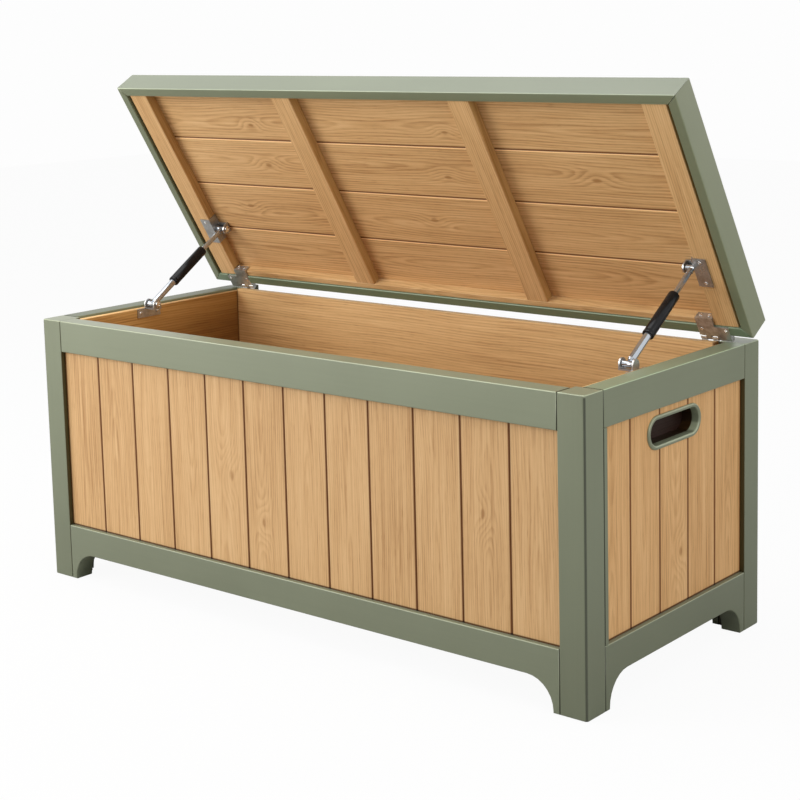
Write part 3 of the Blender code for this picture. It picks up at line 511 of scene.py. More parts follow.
def screw_mesh(radius):
    """One raised screw head with a cross recess, its underside at Z = 0."""
    rise = radius * 0.30
    mesh = bmesh.new()
    profile = [(radius * 0.97, -0.0003), (radius, 0.0), (radius * 0.90, rise * 0.55)]
    profile += [(radius * 0.62, rise * 0.88), (radius * 0.25, rise)]
    add_turned(mesh, profile, 20)
    head = bpy.data.meshes.new("screw_head")
    bmesh.ops.recalc_face_normals(mesh, faces=mesh.faces)
    mesh.to_mesh(head)
    mesh.free()
    mesh = bmesh.new()
    for wide, painted_bounce_tint in ((radius * 0.62, radius * 0.13), (radius * 0.13, radius * 0.62)):
        box = bmesh.ops.create_cube(mesh, size=2.0)["verts"]
        bmesh.ops.scale(mesh, vec=(wide, painted_bounce_tint, rise * 0.45), verts=box)
        bmesh.ops.translate(mesh, vec=(0, 0, rise * 1.05), verts=box)
    cross = bpy.data.meshes.new("screw_cross")
    mesh.to_mesh(cross)
    mesh.free()
    head_thing = bpy.data.objects.new("screw_head", head)
    cross_thing = bpy.data.objects.new("screw_cross", cross)
    for thing in (head_thing, cross_thing):
        bpy.context.scene.collection.objects.link(thing)
    cut = head_thing.modifiers.new("cross", "BOOLEAN")
    cut.operation = "DIFFERENCE"
    cut.solver = "EXACT"
    cut.use_self = True
    cut.object = cross_thing
    view = bpy.context.evaluated_depsgraph_get()
    result = bpy.data.meshes.new_from_object(head_thing.evaluated_get(view))
    bpy.data.objects.remove(head_thing)
    bpy.data.objects.remove(cross_thing)
    return result


def facing(direction):
    """A turn that points +Z in a direction."""
    return Vector(direction).to_track_quat("Z", "Y").to_matrix().to_4x4()


def add_screws(mesh, head, places, direction, matrix):
    """Copies of a screw head at places, facing one way, each turned a little from the last."""
    for index, place in enumerate(places):
        spin = Matrix.Rotation(math.radians(23 + 71 * index), 4, "Z")
        start = len(mesh.verts)
        mesh.from_mesh(head)
        mesh.verts.ensure_lookup_table()
        fresh = mesh.verts[start:]
        whole = matrix @ Matrix.Translation(place) @ facing(direction) @ spin
        bmesh.ops.transform(mesh, matrix=whole, verts=fresh)


# Struts, drawn about the lower pin with +Z along the strut: where each part starts or ends, and radii

FOOT_PIN = Vector(frame["joints"][1]["pos_m"])
STRUT_AXIS = Vector(frame["joints"][2]["axis"])
STRUT_LENGTH = 0.234199
EYE_HALF = 0.0109
STAGE_END = 0.08239
TUBE_START = 0.06739
TUBE_END = 0.16681
ROD_START = 0.15181
SHANK_RADIUS = 0.0066
TUBE_RADIUS = 0.0102
ROD_RADIUS = 0.0049
NECK_RADIUS = 0.0050
EYE_BARREL = 0.0051
EYE_RIM = 0.0057
RIM_WIDTH = 0.0032


def strut_matrix(sign):
    """From a strut's own drawing to its place on one side of the open chest."""
    turn = math.atan2(STRUT_AXIS.z, STRUT_AXIS.y) - math.pi / 2
    pin = Vector((sign * abs(FOOT_PIN.x), FOOT_PIN.y, FOOT_PIN.z))
    return Matrix.Translation(pin) @ Matrix.Rotation(turn, 4, "X")


def add_eye(mesh, matrix, height, bore):
    """A barrel across the strut, with rounded rims, flared cheeks and a bore."""
    across = matrix @ Matrix.Translation((0, 0, height)) @ Matrix.Rotation(math.pi / 2, 4, "Y")
    half = EYE_HALF
    cheek = [(NECK_RADIUS, half), (EYE_RIM, half - 0.0006), (EYE_RIM, half - 0.0024)]
    cheek.append((EYE_BARREL, half - RIM_WIDTH))
    profile = [(bore, -half)] + [(radius, -height) for radius, height in cheek]
    profile += list(reversed(cheek)) + [(bore, half)]
    add_turned(mesh, profile, 32, True, across)


def strut_stage(mesh, matrix):
    """The lower stage: an eye, a waisted neck with a nut, and a polished shank."""
    add_eye(mesh, matrix, 0.0, 0.0033)
    neck = [(NECK_RADIUS, 0.0044), (NECK_RADIUS, 0.0070), (0.0058, 0.0078), (0.0058, 0.0092)]
    shank = [(SHANK_RADIUS, 0.0100), (SHANK_RADIUS, STAGE_END - 0.0006), (0.0061, STAGE_END)]
    shank += [(0.0054, STAGE_END), (0.0054, 0.0125)]
    add_turned(mesh, neck + shank, 40, False, matrix)


def strut_tube(mesh, matrix):
    """The black tube, with rolled shoulders and a collar at its lower end."""
    low, high = TUBE_START, TUBE_END
    profile = [(0.0070, low), (0.0090, low), (0.0098, low + 0.0004), (TUBE_RADIUS, low + 0.0013)]
    profile += [(TUBE_RADIUS, low + 0.0058), (0.0098, low + 0.0063), (0.0098, low + 0.0069)]
    profile.append((0.0100, low + 0.0074))
    profile += [(0.0100, high - 0.0030), (0.0098, high - 0.0018), (0.0092, high - 0.0007)]
    profile += [(0.0084, high), (0.0053, high), (0.0053, high - 0.004), (0.0070, high - 0.004)]
    add_turned(mesh, profile, 48, True, matrix)


def strut_rod(mesh, matrix):
    """The upper rod, its threaded neck and the upper eye with its pin."""
    top = STRUT_LENGTH
    profile = [(0.0045, ROD_START), (ROD_RADIUS, ROD_START + 0.0004), (ROD_RADIUS, top - 0.0101)]
    profile += [(0.0059, top - 0.0096), (0.0059, top - 0.0072)]
    profile += [(NECK_RADIUS, top - 0.0064), (NECK_RADIUS, top - 0.0044)]
    add_turned(mesh, profile, 40, False, matrix)
    add_eye(mesh, matrix, top, 0.0031)
    across = matrix @ Matrix.Translation((0, 0, top)) @ Matrix.Rotation(math.pi / 2, 4, "Y")
    add_turned(mesh, [(0.0030, -EYE_HALF + 0.0004), (0.0030, EYE_HALF - 0.0004)], 24, False, across)


# Handle trims: places measured from the slot's middle and in from the wall's face

SLOT_HALF = 0.0735
SLOT_RADIUS = 0.0205
SLOT_HEIGHT = 0.401
TRIM_FRONT = 0.0050
TRIM_FACE = 0.0087
TRIM_BACK = 0.0377
TRIM_FLANGE = 0.0070
TRIM_WALL = 0.0030
TRIM_ROUND = 0.0034
# The x place beyond which the trim's sleeve is painted dark brown as painted shade inside the slot.
SLOT_SHADE_START = 0.6005


def trim_section():
    """The trim's cross-section: distance outside the slot and distance in from the wall's face."""
    top = TRIM_FRONT + TRIM_ROUND
    section = [(0.0, TRIM_BACK)]
    section += quarter((TRIM_ROUND, top), TRIM_ROUND, 180)
    section += quarter((TRIM_FLANGE - TRIM_ROUND, top), TRIM_ROUND, 270)
    section += [(TRIM_FLANGE, TRIM_FACE), (TRIM_WALL, TRIM_FACE), (TRIM_WALL, TRIM_BACK)]
    return section


def add_trim(mesh, sign):
    """The trim's cross-section carried round the slot's two half circles."""
    steps = 20
    loops = []
    for outset, inward in trim_section():
        loop = []
        for end, start in ((1, -math.pi / 2), (-1, math.pi / 2)):
            for step in range(steps + 1):
                angle = start + math.pi * step / steps
                y = end * (SLOT_HALF - SLOT_RADIUS) + (SLOT_RADIUS + outset) * math.cos(angle)
                z = SLOT_HEIGHT + (SLOT_RADIUS + outset) * math.sin(angle)
                loop.append(Vector((sign * (WALL_X - inward), y, z)))
        loops.append(loop)
    add_loops(mesh, loops, closed=True)


# Stage

FLOOR_REACH = 9.0
FLOOR_STEPS = 12
FLOOR_LEVEL = -0.0003
FLOOR_GLOW = 0.945
SEEN_WHITE = 0.983
GLOSS_GAIN = 0.9

# The dark patch of the room: its direction, the cosines where it starts and is full, and its strength
DARK_SIDE = (2.0, -2.3, 0.35)
DARK_START = 0.86
DARK_FULL = 0.97
DARK_STRENGTH = 0.04

# The camera's place, its turn in radians, and its lens shift as a share of the frame
CAMERA_PLACE = (1.99688, -2.29426, 1.04165)
CAMERA_TURN = (1.433364, 0.019216, 0.665869)
CAMERA_SHIFT = (-0.075, -0.175)

# Each light's name, place, target, size, share of the key light's power, and colour
LIGHTS = (
    ("key_light", (-2.0, -2.3, 1.35), (-0.1, 0.0, 0.45), (1.8, 2.0), 1.0, (1.0, 0.99, 0.97)),
    ("top_light", (-0.3, -0.5, 2.9), (0.0, 0.0, 0.5), (2.6, 1.8), 0.55, (1.0, 1.0, 1.0)),
    ("side_light", (3.0, -0.6, 1.3), (0.3, 0.0, 0.4), (1.6, 1.6), 0.3, (1.0, 1.0, 1.0)),
)


def add_floor(mesh):
    """A flat square grid, a hair below the feet."""
    lines = [FLOOR_REACH * (2 * step / FLOOR_STEPS - 1) for step in range(FLOOR_STEPS + 1)]
    places = [[mesh.verts.new((x, y, FLOOR_LEVEL)) for x in lines] for y in lines]
    for near, far in zip(places, places[1:]):
        for index in range(FLOOR_STEPS):
            mesh.faces.new((near[index], near[index + 1], far[index + 1], far[index]))


def floor_finish(colour, bounce):
    """A floor that the camera sees as lit almost white, and that throws less light on the chest."""
    finish = Finish("studio_floor")
    at = finish.coordinates()
    cloud = finish.noise(finish.vector(at["x"] * 1.3, at["y"] * 1.3, at["z"]), 2.0)
    coat = finish.ramp(cloud, [(0.3, scaled(colour, 0.985)), (0.7, colour)])
    finish.set(base_color=coat, roughness=0.9, specular_ior_level=0.0)
    finish.set(emission_color=(1.0, 1.0, 1.0, 1.0), emission_strength=FLOOR_GLOW)
    dim = finish.node("BsdfDiffuse", None, {"Color": solid(scaled((1.0, 1.0, 0.98), bounce))})
    seen = finish.node("LightPath").outputs["Is Camera Ray"]
    sockets = {0: seen, 1: dim.outputs[0], 2: finish.shader.outputs[0]}
    mixed = finish.node("MixShader", None, sockets)
    finish.feed(finish.tree.nodes["Material Output"].inputs["Surface"], mixed.outputs[0])
    return finish.material


def light_world(sizes):
    """A white room that the camera sees as plain white, with a dark patch behind the camera."""
    world = bpy.data.worlds.new("studio")
    bpy.context.scene.world = world
    world.use_nodes = True
    tree = world.node_tree
    back = tree.nodes["Background"]
    point = tree.nodes.new("ShaderNodeTexCoord").outputs["Generated"]
    along = tree.nodes.new("ShaderNodeVectorMath")
    along.operation = "DOT_PRODUCT"
    along.inputs[1].default_value = Vector(DARK_SIDE).normalized()
    tree.links.new(point, along.inputs[0])
    band = tree.nodes.new("ShaderNodeMapRange")
    band.interpolation_type = "SMOOTHSTEP"
    for index, value in enumerate((DARK_START, DARK_FULL, sizes.room_light, DARK_STRENGTH), 1):
        band.inputs[index].default_value = value
    tree.links.new(along.outputs["Value"], band.inputs[0])
    path = tree.nodes.new("ShaderNodeLightPath")
    gloss = tree.nodes.new("ShaderNodeMath")
    gloss.operation = "MULTIPLY_ADD"
    gloss.inputs[1].default_value = GLOSS_GAIN
    gloss.inputs[2].default_value = 1.0
    tree.links.new(path.outputs["Is Glossy Ray"], gloss.inputs[0])
    room = tree.nodes.new("ShaderNodeMath")
    room.operation = "MULTIPLY"
    tree.links.new(gloss.outputs[0], room.inputs[0])
    tree.links.new(band.outputs[0], room.inputs[1])
    choice = tree.nodes.new("ShaderNodeMix")
    tree.links.new(path.outputs["Is Camera Ray"], choice.inputs[0])
    tree.links.new(room.outputs[0], choice.inputs[2])
    choice.inputs[3].default_value = SEEN_WHITE
    tree.links.new(choice.outputs[0], back.inputs["Strength"])
    back.inputs["Color"].default_value = (1.0, 1.0, 1.0, 1.0)


def add_light(name, place, target, size, energy, colour):
    data = bpy.data.lights.new(name, "AREA")
    data.shape = "RECTANGLE"
    data.size, data.size_y = size
    data.energy = energy
    data.color = colour
    light = bpy.data.objects.new(name, data)
    bpy.context.scene.collection.objects.link(light)
    light.location = place
    light.rotation_euler = (Vector(target) - Vector(place)).to_track_quat("-Z", "Y").to_euler()


# What a user can change

class ChestColours(bpy.types.PropertyGroup):
    """Colours of the chest's finishes."""

    paint: bpy.props.FloatVectorProperty(
        name="Paint", description="Satin paint on posts, rails and trims", subtype="COLOR",
        size=3, min=0, max=1, default=(0.218, 0.240, 0.160))
    oak_light: bpy.props.FloatVectorProperty(
        name="Timber, light", description="Early wood of the oiled boards", subtype="COLOR",
        size=3, min=0, max=1, default=(0.780, 0.520, 0.285))
    oak_middle: bpy.props.FloatVectorProperty(
        name="Timber, middle", description="Main tone of the oiled boards", subtype="COLOR",
        size=3, min=0, max=1, default=(0.640, 0.390, 0.188))
    oak_dark: bpy.props.FloatVectorProperty(
        name="Timber, dark", description="Late wood and knots of the oiled boards", subtype="COLOR",
        size=3, min=0, max=1, default=(0.400, 0.205, 0.080))
    steel: bpy.props.FloatVectorProperty(
        name="Steel", description="Hinges and brackets", subtype="COLOR",
        size=3, min=0, max=1, default=(0.66, 0.66, 0.65))
    chrome: bpy.props.FloatVectorProperty(
        name="Chrome", description="Rods and eyes of the struts", subtype="COLOR",
        size=3, min=0, max=1, default=(0.46, 0.49, 0.53))
    black: bpy.props.FloatVectorProperty(
        name="Black enamel", description="Tubes of the struts", subtype="COLOR",
        size=3, min=0, max=1, default=(0.010, 0.010, 0.011))
    floor: bpy.props.FloatVectorProperty(
        name="Floor", description="Studio floor", subtype="COLOR",
        size=3, min=0, max=1, default=(0.04, 0.04, 0.04))


class ChestSizes(bpy.types.PropertyGroup):
    """Sizes and strengths that can be changed."""

    screw_radius: bpy.props.FloatProperty(
        name="Screw radius", description="Radius of the screw heads", unit="LENGTH",
        min=0.001, max=0.006, default=0.0031)
    rivet_radius: bpy.props.FloatProperty(
        name="Rivet radius", description="Radius of the pin heads on the strut brackets", unit="LENGTH",
        min=0.003, max=0.009, default=0.0061)
    room_light: bpy.props.FloatProperty(
        name="Room light", description="Strength of the white room", min=0, max=3, default=0.62)
    floor_bounce: bpy.props.FloatProperty(
        name="Floor bounce", description="Share of light that the floor throws back on the chest",
        subtype="FACTOR", min=0, max=1, default=0.45)
    key_light: bpy.props.FloatProperty(
        name="Key light", description="Power of the large light at the upper left", unit="POWER",
        min=0, max=1000, default=62.0)
    lens: bpy.props.FloatProperty(
        name="Lens", description="Focal length of the camera", unit="CAMERA",
        min=10, max=300, default=77.132)


def timber_colours(colours):
    return tuple(colours.oak_light), tuple(colours.oak_middle), tuple(colours.oak_dark)


# Operators

class CHEST_OT_painted_frame(bpy.types.Operator):
    """Paint the posts, the rails and the lid's frame"""

    bl_idname = "chest.painted_frame"
    bl_label = "Painted frame"

    def execute(self, context):
        colour = tuple(context.scene.chest_colours.paint)
        seam = (0.20, 0.20, 0.17)
        # Colour of the painted shade on the posts' faces beside the slat recesses.
        recess_shade = (0.22, 0.17, 0.07)
        end_seam = Band("x", POST_INSIDE_X - 0.0021, POST_INSIDE_X - 0.0008, seam)
        side_seam = Band("y", POST_INSIDE_Y - 0.0021, POST_INSIDE_Y - 0.0008, seam)
        # Painted shade: the posts' front and back faces a little darker, and their faces beside the
        # slat recesses much darker.
        faces = [
            Band("y", WALL_Y - 0.0010, WALL_Y - 0.0004, (0.88, 0.88, 0.86)),
            Band("x", POST_INSIDE_X + 0.0010, POST_INSIDE_X + 0.0003, recess_shade),
            Band("y", POST_INSIDE_Y + 0.0010, POST_INSIDE_Y + 0.0003, recess_shade),
        ]
        # corner=0.36 gives the posts a painted shade along their outer vertical arrises.
        post = satin_paint("paint_upright", colour, "z", 1.0, shades=faces, corner=0.36)
        dress(nodes_with("_post"), post)
        stile = satin_paint("paint_stiles", colour, "z", 7.0, shades=[side_seam])
        dress(nodes_with("_end_stile"), stile)
        # Painted light and shade on the end top rails' top faces: the left one darker, the right one
        # lighter and greener.
        top_face_light_and_shade = {"left_top_rail": (0.62, 0.64, 0.64), "right_top_rail": (1.05, 1.16, 1.12)}
        # Arris lightening, scuffs with painted highlight, is weaker on the bottom rails.
        for level, wear_and_highlight in (("top", 0.85), ("bottom", 0.50)):
            paint = satin_paint("paint_long_" + level, colour, "x", 2.0, shades=[end_seam], wear_and_highlight=wear_and_highlight)
            dress(["front_%s_rail" % level, "back_%s_rail" % level], paint)
            for name in ("left_%s_rail" % level, "right_%s_rail" % level):
                bands = [side_seam]
                if name in top_face_light_and_shade:
                    bands.append(Band("z", BODY_TOP - 0.0020, BODY_TOP - 0.0008, top_face_light_and_shade[name]))
                shine = 0.12 if name == "left_top_rail" else 0.5
                paint = satin_paint("paint_" + name, colour, "y", 3.0, shades=bands, wear_and_highlight=wear_and_highlight,
                                    shine=shine)
                dress([name], paint)
        # Painted shade on the lid rails' inner faces.
        inside = Band("x", LID_INSIDE_X + 0.0030, LID_INSIDE_X + 0.0008, (0.62, 0.64, 0.55))
        # Painted light on the lid's outer side faces.
        outside = Band("x", LID_OUTSIDE_X - 0.0030, LID_OUTSIDE_X - 0.0010, (1.22, 1.20, 1.16))
        # Painted shade on the lid's undersides.
        under = Band("z", LID_UNDER + 0.0008, LID_UNDER + 0.0002, (0.86, 0.88, 0.80))
        # Painted light: the lid's front face a little bluer and brighter, as if lit from above.
        front = Band("y", LID_FREE_EDGE - 0.0020, LID_FREE_EDGE - 0.0010, (0.98, 0.99, 1.07))
        # Painted shade at the lid's hinge edge: darker and less red.
        back = Band("y", LID_HINGE_EDGE + 0.010, LID_HINGE_EDGE, (0.80, 0.95, 0.93))
        # Arris lightening, scuffs with painted highlight, is weaker on the lid's back rail and weakest
        # on its side rails.
        for name, wear_and_highlight in (("lid_front_rail", 0.85), ("lid_back_rail", 0.30)):
            bands = (under, front, back)
            dress([name], satin_paint("paint_" + name, colour, "x", 4.0, True, bands, wear_and_highlight))
        bands = (under, inside, outside)
        short = satin_paint("paint_lid_short", colour, "y", 5.0, True, bands, 0.10)
        dress(["lid_left_rail", "lid_right_rail"], short)
        return {"FINISHED"}


class CHEST_OT_slatted_walls(bpy.types.Operator):
    """Give the upright slats their timber"""

    bl_idname = "chest.slatted_walls"
    bl_label = "Slatted walls"

    def execute(self, context):
        colours = timber_colours(context.scene.chest_colours)
        front_knots = ((-0.131, 0.266, 0.0060), (-0.055, 0.193, 0.0045), (0.422, 0.288, 0.0050))
        # Lit and shaded copies of one timber, as painted light and shade: the front and back boards a
        # shade darker and warmer.
        light_and_shade_tint = (0.965, 0.95, 0.88)
        # Painted shade where the slats meet the rails: a dark line just above the bottom rail and a
        # shadow under the top rail.
        low = Band("z", RAIL_TOP + 0.0036, RAIL_TOP + 0.0018, (0.16, 0.11, 0.06))
        high = Band("z", RAIL_UNDER - 0.0030, RAIL_UNDER - 0.0010, (0.48, 0.40, 0.30))
        front = timber("timber_front", FRONT_BOARDS, colours, light_and_shade_tint, 0.8, seed=0.37, knots=front_knots,
                       shades=(low, high))
        dress(nodes_with("front_slat_"), front)
        dress(["back_panel"], timber("timber_back", FRONT_BOARDS, colours, light_and_shade_tint, seed=2.11))
        end_knots = ((0.020, 0.190, 0.005),)
        # The end boards a lighter copy of the timber, as painted light on the end walls.
        end_wall_painted_light = (1.16, 1.09, 0.94)
        ends = timber("timber_ends", END_BOARDS, colours, end_wall_painted_light, 0.8, seed=5.23, knots=end_knots,
                      shades=(low, high))
        dress(nodes_with("_end_panel"), ends)
        return {"FINISHED"}


class CHEST_OT_lining(bpy.types.Operator):
    """Give the inside boards and the floor their timber"""

    bl_idname = "chest.lining"
    bl_label = "Lining"

    def execute(self, context):
        colours = timber_colours(context.scene.chest_colours)
        # Painted shade in the liners' corners beside the posts.
        corner = Band("x", POST_INSIDE_X - 0.0045, POST_INSIDE_X - 0.0020, (0.30, 0.22, 0.14))
        # Painted shade: the liners darker towards the bottom of the chest.
        depth_shade = Band("z", 0.46, 0.20, (0.72, 0.62, 0.50))
        # The long liners a lighter copy of the timber, as painted light inside the chest.
        light_and_shade_tint = (1.08, 1.09, 0.94)
        long_boards = timber("timber_lining_long", LONG_LINERS, colours, light_and_shade_tint, 1.1, 190.0, 7.7,
                             shades=(corner, depth_shade))
        dress(["front_liner", "back_liner"], long_boards)
        # The end liners a more saturated copy, as painted light bounced between the boards.
        painted_bounce_tint = (1.02, 0.95, 0.60)
        shades = (
            depth_shade,
            # Painted shade growing below the liners' top edge.
            Band("z", 0.488, 0.420, (0.64, 0.58, 0.48)),
            # Painted shade towards the back of the end liners.
            Band("+y", -0.12, 0.20, (0.57, 0.49, 0.38)),
            # The liners' outer faces nearly black, as painted shade seen through the finger slots.
            Band("x", LINER_BACK_X, LINER_BACK_X + 0.0002, (0.06, 0.03, 0.015)),
            # Painted highlight along the liners' top edge.
            Band("z", LINER_TOP - 0.0022, LINER_TOP - 0.0010, (1.45, 1.65, 2.3)),
        )
        end_boards = timber("timber_lining_ends", END_LINERS, colours, painted_bounce_tint, 1.0, 200.0, 8.9,
                            shades=shades)
        dress(["left_liner", "right_liner"], end_boards)
        dress(["floor_panel"], timber("timber_floor", FLOOR_BOARDS, colours, seed=9.4))
        return {"FINISHED"}


class CHEST_OT_lid_timber(bpy.types.Operator):
    """Give the lid's boards, battens and cleat their timber"""

    bl_idname = "chest.lid_timber"
    bl_label = "Lid timber"

    def execute(self, context):
        colours = timber_colours(context.scene.chest_colours)
        # A lighter copy of the timber for the lid, as painted light.
        lid_painted_light = (1.08, 1.07, 0.97)
        knots = (
            (-0.306, 0.418, 0.006), (-0.297, 0.098, 0.005), (-0.197, 0.023, 0.005),
            (-0.394, 0.132, 0.004), (-0.398, -0.339, 0.004), (-0.305, -0.342, 0.005),
            (-0.201, -0.449, 0.005),
        )
        # The lid's boards carry a painted highlight beside each seam.
        panel = timber("timber_lid", LID_PANEL_BOARDS, colours, lid_painted_light, 1.25, 190.0, 11.3, True, knots,
                       lit=0.75)
        dress(["lid_panel"], panel)
        # Painted shade on the battens' side faces.
        batten_side_shade = Band("z", BATTEN_FACE + 0.0012, BATTEN_FACE + 0.0030, (0.80, 0.76, 0.60))
        battens = timber("timber_battens", BATTENS, colours, lid_painted_light, seed=13.1, on_lid=True,
                         shades=[batten_side_shade])
        dress(nodes_with("lid_batten"), battens)
        # The cleat a lighter copy of the timber, as painted light.
        light_and_shade_tint = (1.06, 1.10, 1.02)
        cleat = timber("timber_cleat", CLEAT_BOARDS, colours, light_and_shade_tint, seed=14.6, on_lid=True)
        dress(["lid_cleat"], cleat)
        return {"FINISHED"}


class CHEST_OT_handles(bpy.types.Operator):
    """Make the rounded painted trims of the finger slots"""

    bl_idname = "chest.handles"
    bl_label = "Handle trims"

    def execute(self, context):
        # Painted shade: the trim's sleeve turns dark brown deep in the finger slot.
        slot_depth_shade = Band("x", SLOT_SHADE_START + 0.0006, SLOT_SHADE_START - 0.0006, (0.10, 0.04, 0.015))
        colour = tuple(context.scene.chest_colours.paint)
        paint = satin_paint("paint_trims", colour, "y", 6.0, shades=[slot_depth_shade])
        for side, sign in SIDES:
            make_piece(side + "_slot_trim", lambda mesh: add_trim(mesh, sign), paint, "body",
                       [side + "_handle_trim"])
        return {"FINISHED"}


# Hinge screws: distances from the middle of the pairs in the foot and the fold, and of the pair in the
# plate, then each pair's Y and Z. The fold's and the plate's are those of the shut lid.
NARROW_ROW = (0.54425, 0.56075)
WIDE_ROW = (0.5435, 0.5895)
FOOT_PLACE = (0.24525, 0.4834)
FOLD_PLACE = (-0.0442, 0.00375)
PLATE_PLACE = (-0.0195, -0.0050)


class CHEST_OT_hinges(bpy.types.Operator):
    """Finish the hinge leaves and put in their screws"""

    bl_idname = "chest.hinges"
    bl_label = "Hinges"

    def execute(self, context):
        steel = tuple(context.scene.chest_colours.steel)
        head = screw_mesh(context.scene.chest_sizes.screw_radius)
        leaf = scaled(steel, 0.85)
        plain = metal("steel_hinge_body", leaf, 0.30, "x", 0.5, sheen=0.8)
        moving = metal("steel_hinge_lid", leaf, 0.30, "x", 0.5, on_lid=True, sheen=0.8)
        dress(nodes_with("hinge_body_leaf"), plain)
        dress(nodes_with("hinge_lid_leaf"), moving)
        bright = metal("steel_screws", scaled(steel, 1.2), 0.22, "x", 0.15)
        for side, sign in SIDES:
            def foot_screws(mesh):
                places = [(sign * x, *FOOT_PLACE) for x in NARROW_ROW]
                add_screws(mesh, head, places, (0, 0, 1), Matrix.Identity(4))

            def leaf_screws(mesh):
                fold = [(sign * x, *FOLD_PLACE) for x in NARROW_ROW]
                add_screws(mesh, head, fold, (0, -1, 0), LID_MATRIX)
                under = [(sign * x, *PLATE_PLACE) for x in WIDE_ROW]
                add_screws(mesh, head, under, (0, 0, -1), LID_MATRIX)

            make_piece(side + "_hinge_foot_screws", foot_screws, bright, "body")
            make_piece(side + "_hinge_leaf_screws", leaf_screws, bright, LID_NAME)
        return {"FINISHED"}


# Strut brackets: how far inward of the strut the pin heads are, the upper pin's Y and Z on the shut
# lid, how far the screws are from a pin, and the screws' places on the body and on the shut lid
PIN_HEAD_INWARD = 0.0153
HEAD_PIN = (-0.143, 0.007)
SCREW_REACHES = (-0.0215, 0.0215)
BODY_PLATE_FACE = 0.5665
BODY_SCREW_HEIGHT = 0.4862
LID_FLANGE_X = 0.582
LID_FLANGE_FACE = -0.0048


class CHEST_OT_struts(bpy.types.Operator):
    """Make the telescopic struts and finish their brackets"""

    bl_idname = "chest.struts"
    bl_label = "Lid struts"

    def execute(self, context):
        colours = context.scene.chest_colours
        sizes = context.scene.chest_sizes
        head = screw_mesh(sizes.screw_radius)
        steel = tuple(colours.steel)
        chrome = metal("chrome_rods", tuple(colours.chrome), 0.12, "z", sheen=0.85, rubbed_and_lit=0)
        black = black_enamel("black_tube", tuple(colours.black))
        plate = scaled(steel, 0.68)
        plain = metal("steel_bracket_body", plate, 0.28, "y", 0.4, sheen=0.8)
        moving = metal("steel_bracket_lid", plate, 0.28, "y", 0.4, on_lid=True, sheen=0.8)
        dress(nodes_with("strut_body_bracket"), plain)
        dress(nodes_with("strut_lid_bracket"), moving)
        bright = metal("steel_bracket_screws", scaled(steel, 1.2), 0.22, "x", 0.10)
        radius = sizes.rivet_radius
        rivet = [(radius, -0.0001), (radius, 0.0008), (radius * 0.85, 0.0014), (radius * 0.45, 0.0017)]
        rivet += [(radius * 0.40, 0.0013), (radius * 0.10, 0.0012)]
        for side, sign in SIDES:
            matrix = strut_matrix(sign)
            prefix = side + "_strut_"
            make_piece(prefix + "shank", lambda mesh: strut_stage(mesh, matrix), chrome,
                       side + "_stage", [prefix + "lower_stage"])
            make_piece(prefix + "sleeve", lambda mesh: strut_tube(mesh, matrix), black,
                       side + "_tube", [prefix + "tube"])
            make_piece(prefix + "rod", lambda mesh: strut_rod(mesh, matrix), chrome,
                       side + "_rod", [prefix + "upper_rod"])
            inward = facing((-sign, 0, 0))
            face = sign * (abs(FOOT_PIN.x) - PIN_HEAD_INWARD)

            def body_fittings(mesh):
                plate = [(sign * BODY_PLATE_FACE, FOOT_PIN.y + reach, BODY_SCREW_HEIGHT)
                         for reach in SCREW_REACHES]
                add_screws(mesh, head, plate, (-sign, 0, 0), Matrix.Identity(4))
                place = Matrix.Translation((face, FOOT_PIN.y, FOOT_PIN.z))
                add_turned(mesh, rivet, 28, False, place @ inward)

            def lid_fittings(mesh):
                flange = [(sign * LID_FLANGE_X, HEAD_PIN[0] + reach, LID_FLANGE_FACE)
                          for reach in SCREW_REACHES]
                add_screws(mesh, head, flange, (0, 0, -1), LID_MATRIX)
                place = Matrix.Translation((face, *HEAD_PIN))
                add_turned(mesh, rivet, 28, False, LID_MATRIX @ place @ inward)

            make_piece(prefix + "body_fittings", body_fittings, bright, "body")
            make_piece(prefix + "lid_fittings", lid_fittings, bright, LID_NAME)
        return {"FINISHED"}


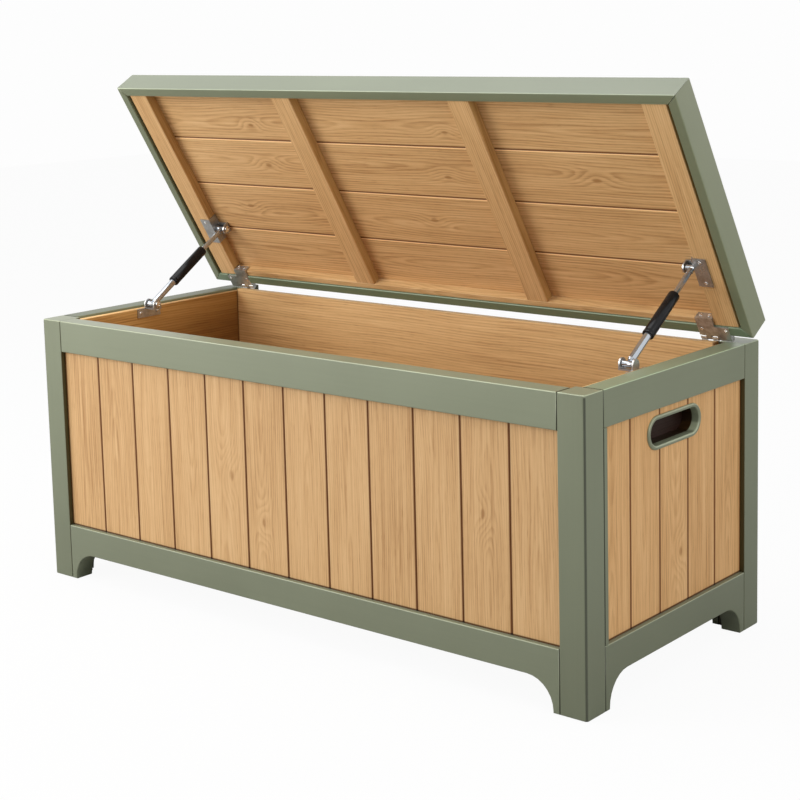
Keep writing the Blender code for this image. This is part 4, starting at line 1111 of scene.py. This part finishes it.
class CHEST_OT_stage(bpy.types.Operator):
    """Make the floor, the lights and the camera"""

    bl_idname = "chest.stage"
    bl_label = "Stage"

    def execute(self, context):
        sizes = context.scene.chest_sizes
        mesh = bmesh.new()
        add_floor(mesh)
        data = bpy.data.meshes.new("studio_floor")
        mesh.to_mesh(data)
        mesh.free()
        colour = tuple(context.scene.chest_colours.floor)
        data.materials.append(floor_finish(colour, sizes.floor_bounce))
        floor = bpy.data.objects.new("studio_floor", data)
        context.scene.collection.objects.link(floor)
        light_world(sizes)
        for name, place, target, size, share, colour in LIGHTS:
            add_light(name, place, target, size, sizes.key_light * share, colour)
        data = bpy.data.cameras.new("camera")
        data.lens = sizes.lens
        data.sensor_width = 36.0
        data.shift_x, data.shift_y = CAMERA_SHIFT
        camera = bpy.data.objects.new("camera", data)
        camera.location = CAMERA_PLACE
        camera.rotation_euler = CAMERA_TURN
        context.scene.collection.objects.link(camera)
        context.scene.camera = camera
        context.scene.view_settings.view_transform = "Standard"
        return {"FINISHED"}


class CHEST_PT_panel(bpy.types.Panel):
    """The chest's operators and settings"""

    bl_label = "Garden storage chest"
    bl_idname = "CHEST_PT_panel"
    bl_space_type = "VIEW_3D"
    bl_region_type = "UI"
    bl_category = "Chest"

    def draw(self, context):
        for operator in OPERATORS:
            self.layout.operator(operator.bl_idname)
        for settings in (context.scene.chest_colours, context.scene.chest_sizes):
            for name in settings.bl_rna.properties.keys():
                if name not in ("rna_type", "name"):
                    self.layout.prop(settings, name)


OPERATORS = (
    CHEST_OT_painted_frame,
    CHEST_OT_slatted_walls,
    CHEST_OT_lining,
    CHEST_OT_lid_timber,
    CHEST_OT_handles,
    CHEST_OT_hinges,
    CHEST_OT_struts,
    CHEST_OT_stage,
)
CLASSES = (ChestColours, ChestSizes, *OPERATORS, CHEST_PT_panel)


def register():
    for made in CLASSES:
        bpy.utils.register_class(made)
    bpy.types.Scene.chest_colours = bpy.props.PointerProperty(type=ChestColours)
    bpy.types.Scene.chest_sizes = bpy.props.PointerProperty(type=ChestSizes)


def unregister():
    del bpy.types.Scene.chest_sizes
    del bpy.types.Scene.chest_colours
    for made in reversed(CLASSES):
        bpy.utils.unregister_class(made)


def main():
    register()
    bpy.ops.chest.painted_frame()
    bpy.ops.chest.slatted_walls()
    bpy.ops.chest.lining()
    bpy.ops.chest.lid_timber()
    bpy.ops.chest.handles()
    bpy.ops.chest.hinges()
    bpy.ops.chest.struts()
    bpy.ops.chest.stage()


if __name__ == "__main__":
    main()
